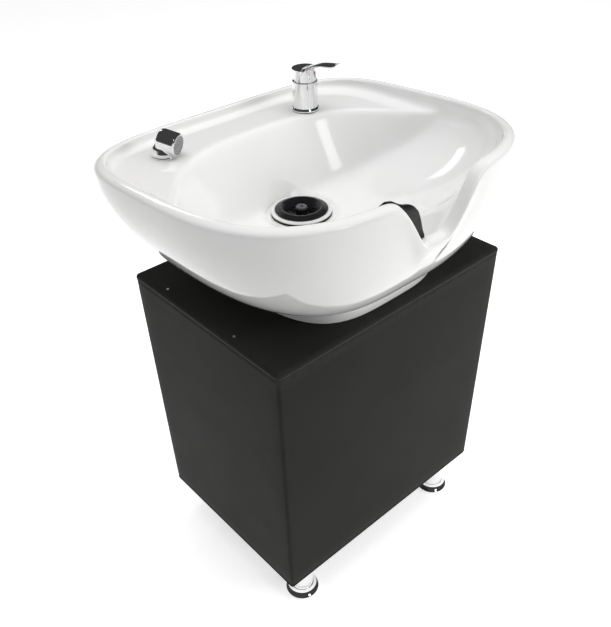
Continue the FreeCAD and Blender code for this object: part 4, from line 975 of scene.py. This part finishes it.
for place in footPlaces:
    at = middleOf("foot_tube_" + place)
    for step in range(screws["perPlate"]):
        angle = math.pi / 2 + 2 * math.pi * step / screws["perPlate"]
        screwSpots.append((at.x + screws["ringMm"] * mm * math.cos(angle),
                           at.y + screws["ringMm"] * mm * math.sin(angle), floorOf("foot_plates")))
settle(growPattern("plate_screws", domedHeads, headSizes(screws, math.pi), zinc, points=screwSpots),
       "root", "zinc_screw", zinc, "foot_screws")
print("feet done")


# mixer

mixer = {  # millimetres
    "ringEdge": 0.3, "ringEdgeUp": 1.2, "ringSide": 2.4, "coneGap": 0.9, "coneUp": 5.6, "ringHigh": 6,
    "ringSoft": 0.8, "footBevel": 0.4, "topBevel": 0.8, "shellWall": 3, "shellDeep": 6, "shellSoft": 0.5,
    "turns": 128, "voxelMm": 0.45, "smoothing": 6,
}
mixerBase = standOf("mixer_body")
ringOut, bodyOut, bodyHigh = radiusOf("mixer_base_ring"), radiusOf("mixer_body"), heightOf("mixer_body")
flange = softened([
    (bodyOut, 0), (ringOut - mixer["ringEdge"], 0), (ringOut, mixer["ringEdgeUp"]),
    (ringOut, mixer["ringSide"]), (bodyOut + mixer["coneGap"], mixer["coneUp"]),
    (bodyOut, mixer["ringHigh"])], mixer["ringSoft"], 4, True)
settle(lathe("mixer_flange", flange, mixerBase, mixer["turns"], True), "root", "chrome", chrome,
       "mixer_base_ring")
bevel, topBevel, inner = mixer["footBevel"], mixer["topBevel"], bodyOut - mixer["shellWall"]
shellFloor = bodyHigh - mixer["shellDeep"]
shellLine = softened([
    (0, 0), (bodyOut - bevel, 0), (bodyOut, bevel), (bodyOut, bodyHigh - topBevel),
    (bodyOut - topBevel, bodyHigh), (inner, bodyHigh), (inner, shellFloor), (0, shellFloor)],
    mixer["shellSoft"], 3)
settle(lathe("mixer_column", shellLine, mixerBase, mixer["turns"]), "root", "chrome", chrome, "mixer_body")
settle(softCopy("mixer_handle", "mixer_lever", mixer["voxelMm"], mixer["smoothing"]), "lever", "chrome",
       chrome, "mixer_lever")
settle(smoothCopy("mixer_ball", "handle_dome"), "handle_carrier", "chrome", chrome, "handle_dome")
print("mixer done")


# hand spray

spray = {"turn": -64, "dip": 11, "pitchMm": 3.4, "nozzleMm": 0.85, "nozzleHigh": 1.0, "voxelMm": 0.5,
         "smoothing": 5}
settle(softCopy("spray_body", "spray_head", spray["voxelMm"], spray["smoothing"]), "spray", "chrome",
       chrome, "spray_head")
turn, dip = math.radians(spray["turn"]), math.radians(spray["dip"])
sprayWay = Vector((math.cos(dip) * math.cos(turn), math.cos(dip) * math.sin(turn), -math.sin(dip)))
faceFront = max(v.co.dot(sprayWay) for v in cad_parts["spray_face"].data.vertices)
faceMiddle = middleOf("spray_face")
faceMiddle += sprayWay * (faceFront - faceMiddle.dot(sprayWay))
lie = Matrix.Translation(faceMiddle) @ sprayWay.to_track_quat("Z", "Y").to_matrix().to_4x4()
settle(growPattern("spray_nozzles", nozzleField, {
    "Pitch": spray["pitchMm"] * mm, "Nozzle Radius": spray["nozzleMm"] * mm,
    "Nozzle Height": spray["nozzleHigh"] * mm}, greyPlastic, lie),
    "spray", "grey_plastic", greyPlastic)
print("spray done")


# waste, strainer and neck pad

settle(smoothCopy("waste_ring", "waste_flange"), "root", "white_plastic", whitePlastic, "waste_flange")
settle(smoothCopy("strainer_cup", "strainer_basket"), "strainer", "black_plastic", blackPlastic,
       "strainer_basket")
post = {  # millimetres
    "capMm": 4, "capOut": 10, "capEdge": 0.9, "dimple": 2.5, "dimpleDeep": 2.5, "dimpleSlope": 1,
    "ribs": 14, "ribMm": 1.3, "shaftSoft": 0.6, "turns": 72,
}
postAt = Vector((0, drainY, floorOf("strainer_knob")))
postHigh, shaftOut = heightOf("strainer_knob"), radiusOf("strainer_knob") - post["ribMm"]
seamUp, dimpleFloor = postHigh - post["capMm"], postHigh - post["dimpleDeep"]
shaft = softened([(0, 0), (shaftOut, 0), (shaftOut, seamUp), (0, seamUp)], post["shaftSoft"], 3)
settle(lathe("strainer_post", shaft, postAt, post["turns"]), "strainer", "grey_plastic", blackPlastic,
       "strainer_knob")
cap = softened([
    (0, seamUp), (post["capOut"], seamUp), (post["capOut"], postHigh),
    (post["dimple"] + post["dimpleSlope"], postHigh), (post["dimple"], dimpleFloor), (0, dimpleFloor)],
    post["capEdge"], 4)
settle(lathe("strainer_cap", cap, postAt, post["turns"]), "strainer", "grey_plastic", greyPlastic)


def ribs(name, count, ringMm, ribMm, highMm, finish, middle):
    return growPattern(name, ribRing, {
        "Ribs": count, "Ring Radius": ringMm * mm, "Rib Radius": ribMm * mm, "Rib Height": highMm * mm},
        finish, Matrix.Translation(middle))


settle(ribs("post_ribs", post["ribs"], shaftOut, post["ribMm"], seamUp, blackPlastic,
            postAt + up * seamUp / 2 * mm), "strainer", "grey_plastic", blackPlastic)
nuts = {  # number of ribs, their radius in millimetres, finish
    "waste_nut": (32, 2.2, blackPlastic), "trap_nut": (24, 1.8, whitePlastic),
}
ribShare = 0.94  # of the nut's height
for node, (count, ribMm, finish) in nuts.items():
    settle(ribs(node + "_ribs", count, radiusOf(node), ribMm, heightOf(node) * ribShare, finish,
                middleOf(node)), "root", "white_plastic", finish)
pad = {"thinFrom": -20, "thinTo": -62, "sink": 5.5, "voxelMm": 1.0, "smoothing": 10}  # thins to its far end
neckPad = settle(softCopy("neck_pad", "neck_rest", pad["voxelMm"], pad["smoothing"]), "root",
                 "black_rubber", blackRubber, "neck_rest")
for vert in neckPad.data.vertices:
    share = (vert.co.x / mm - pad["thinFrom"]) / (pad["thinTo"] - pad["thinFrom"])
    vert.co.z -= pad["sink"] * mm * min(max(share, 0.0), 1.0)
print("waste and pad done")


# solids shown as they are, each in its finish

plainNodes = (
    (zinc, ("foot_plates", "handle_stem")),
    (redDot, ("temperature_dot",)),
    (chrome, ("spray_seat",)),
    (brass, ("cartridge_nut", "mixer_shank", "mixer_nut", "spray_nut", "inlet_hot", "inlet_cold")),
    (blackRubber, ("floor_glides", "mixer_gasket", "mixer_washer", "spray_gasket", "spray_washer",
                   "waste_gasket", "waste_washer")),
    (paleRubber, ("spray_face",)),
    (blackPlastic, ("waste_nut",)),
    (whitePlastic, ("cartridge", "trap_nut", "trap_bottle", "trap_outlet")),
    (braid, ("spray_hose_tail", "spray_hose_loop", "supply_hose_hot", "supply_hose_cold")),
    (sealedBoard, ("bottom_panel",)),
    (plies[0], ("side_panel_left", "side_panel_right", "corner_battens")),
    (plies[1], ("front_panel", "back_panel")),
    (plies[2], ("top_panel",)),
)
for finish, nodes in plainNodes:
    for node in nodes:
        dressNode(node, finish)
print("boards and fittings done")


# stage, lights and camera

stage = {
    "floorSize": 60.0, "floorColour": rgba(0.92, 0.92, 0.92), "floorGlow": 0.56,
    "softLight": 0.4, "ceilingFrom": -0.02, "ceilingTo": 0.13, "ceilingShade": 0.05,
}
bpy.ops.mesh.primitive_plane_add(size=stage["floorSize"], location=(0, 0, 0))
floor = bpy.context.object
floor.name = "studio_floor"
floorPaint, floorTree, floorShader = startMaterial("studioFloor", Roughness=0.85,
                                                   Base_Color=stage["floorColour"], Specular_IOR_Level=0.1)
floor.data.materials.append(floorPaint)
floor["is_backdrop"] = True


def seenBy(tree, *rays):
    # 1 for the kinds of ray named, 0 for the rest
    path = tree.nodes.new("ShaderNodeLightPath")
    seen = path.outputs[rays[0]]
    for ray in rays[1:]:
        seen = mathNode(tree, "MAXIMUM", seen, path.outputs[ray])
    return seen


floorShader.inputs["Emission Color"].default_value = rgba(1, 1, 1)
whiteFor = seenBy(floorTree, "Is Camera Ray", "Is Glossy Ray", "Is Transmission Ray")
glow = rangeNode(floorTree, whiteFor, 0.0, 1.0, 0.0, stage["floorGlow"])
floorTree.links.new(glow, floorShader.inputs["Emission Strength"])


def areaLamp(name, place, target, size, power):
    lamp = bpy.data.lights.new(name, "AREA")
    lamp.shape = "RECTANGLE"
    lamp.size, lamp.size_y = size
    lamp.energy = power
    piece = linkPiece(name, lamp)
    piece.location = place
    piece.rotation_mode = "QUATERNION"
    piece.rotation_quaternion = (Vector(target) - Vector(place)).to_track_quat("-Z", "Y")
    return piece


lampTarget = (0, 0, 0.7)
lamps = {  # name: place, size, power, whether polished surfaces show it
    "keySoft": ((2.2, -3.1, 1.9), (2.2, 2.0), 56, False),
    "topSoft": ((0.2, 0.3, 3.4), (2.6, 2.6), 56, False),
    "windowBack": ((0.5, 2.8, 2.6), (1.3, 0.3), 4, True),
    "windowFront": ((0.1, -2.4, 2.5), (0.5, 0.9), 4.5, True),
}
for name, (place, size, power, polishShows) in lamps.items():
    lamp = areaLamp(name, place, lampTarget, size, power)
    lamp.visible_glossy = polishShows

# the air is white to the camera, and polished metal sees it darken towards the ceiling
world = bpy.data.worlds.new("studioAir")
bpy.context.scene.world = world
world.use_nodes = True
airTree = world.node_tree
air = airTree.nodes["Background"]
air.inputs["Color"].default_value = rgba(1, 1, 1)
way = addNode(airTree, "ShaderNodeSeparateXYZ", {
    "Vector": addNode(airTree, "ShaderNodeTexCoord").outputs["Generated"]})
ceiling = rangeNode(airTree, way.outputs["Z"], stage["ceilingFrom"], stage["ceilingTo"],
                    1.0, stage["ceilingShade"])
polished = rangeNode(airTree, seenBy(airTree, "Is Glossy Ray"), 0.0, 1.0, stage["softLight"], ceiling)
strength = rangeNode(airTree, seenBy(airTree, "Is Camera Ray", "Is Transmission Ray"), 0.0, 1.0,
                     polished, 1.0)
airTree.links.new(strength, air.inputs["Strength"])

cameraValues = {
    "place": (-756.9, -842.05, 1328.2), "azimuth": -40.484, "elevation": 40.0, "roll": -2.177,
    "focalPx": 707.37, "centrePx": (304.21, 370.92), "framePx": (611, 627),
}
azimuth, elevation, roll = (math.radians(cameraValues[k]) for k in ("azimuth", "elevation", "roll"))
right = Vector((math.cos(azimuth), math.sin(azimuth), 0))
back = Vector((math.sin(azimuth) * math.cos(elevation), -math.cos(azimuth) * math.cos(elevation),
               math.sin(elevation)))
upward = back.cross(right)
turnedRight = right * math.cos(roll) + upward * math.sin(roll)
turnedUp = upward * math.cos(roll) - right * math.sin(roll)
lens = bpy.data.cameras.new("studioCamera")
camera = linkPiece("studioCamera", lens)
camera.matrix_world = Matrix.Translation(Vector(cameraValues["place"]) * mm) @ Matrix(
    (turnedRight, turnedUp, back)).transposed().to_4x4()
wide, high = cameraValues["framePx"]
lens.sensor_width = 36
lens.lens = cameraValues["focalPx"] * lens.sensor_width / high
lens.shift_x = (wide / 2 - cameraValues["centrePx"][0]) / high
lens.shift_y = (cameraValues["centrePx"][1] - high / 2) / high
bpy.context.scene.camera = camera
bpy.context.scene.view_settings.view_transform = "Standard"
print("stage done")

low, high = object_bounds()
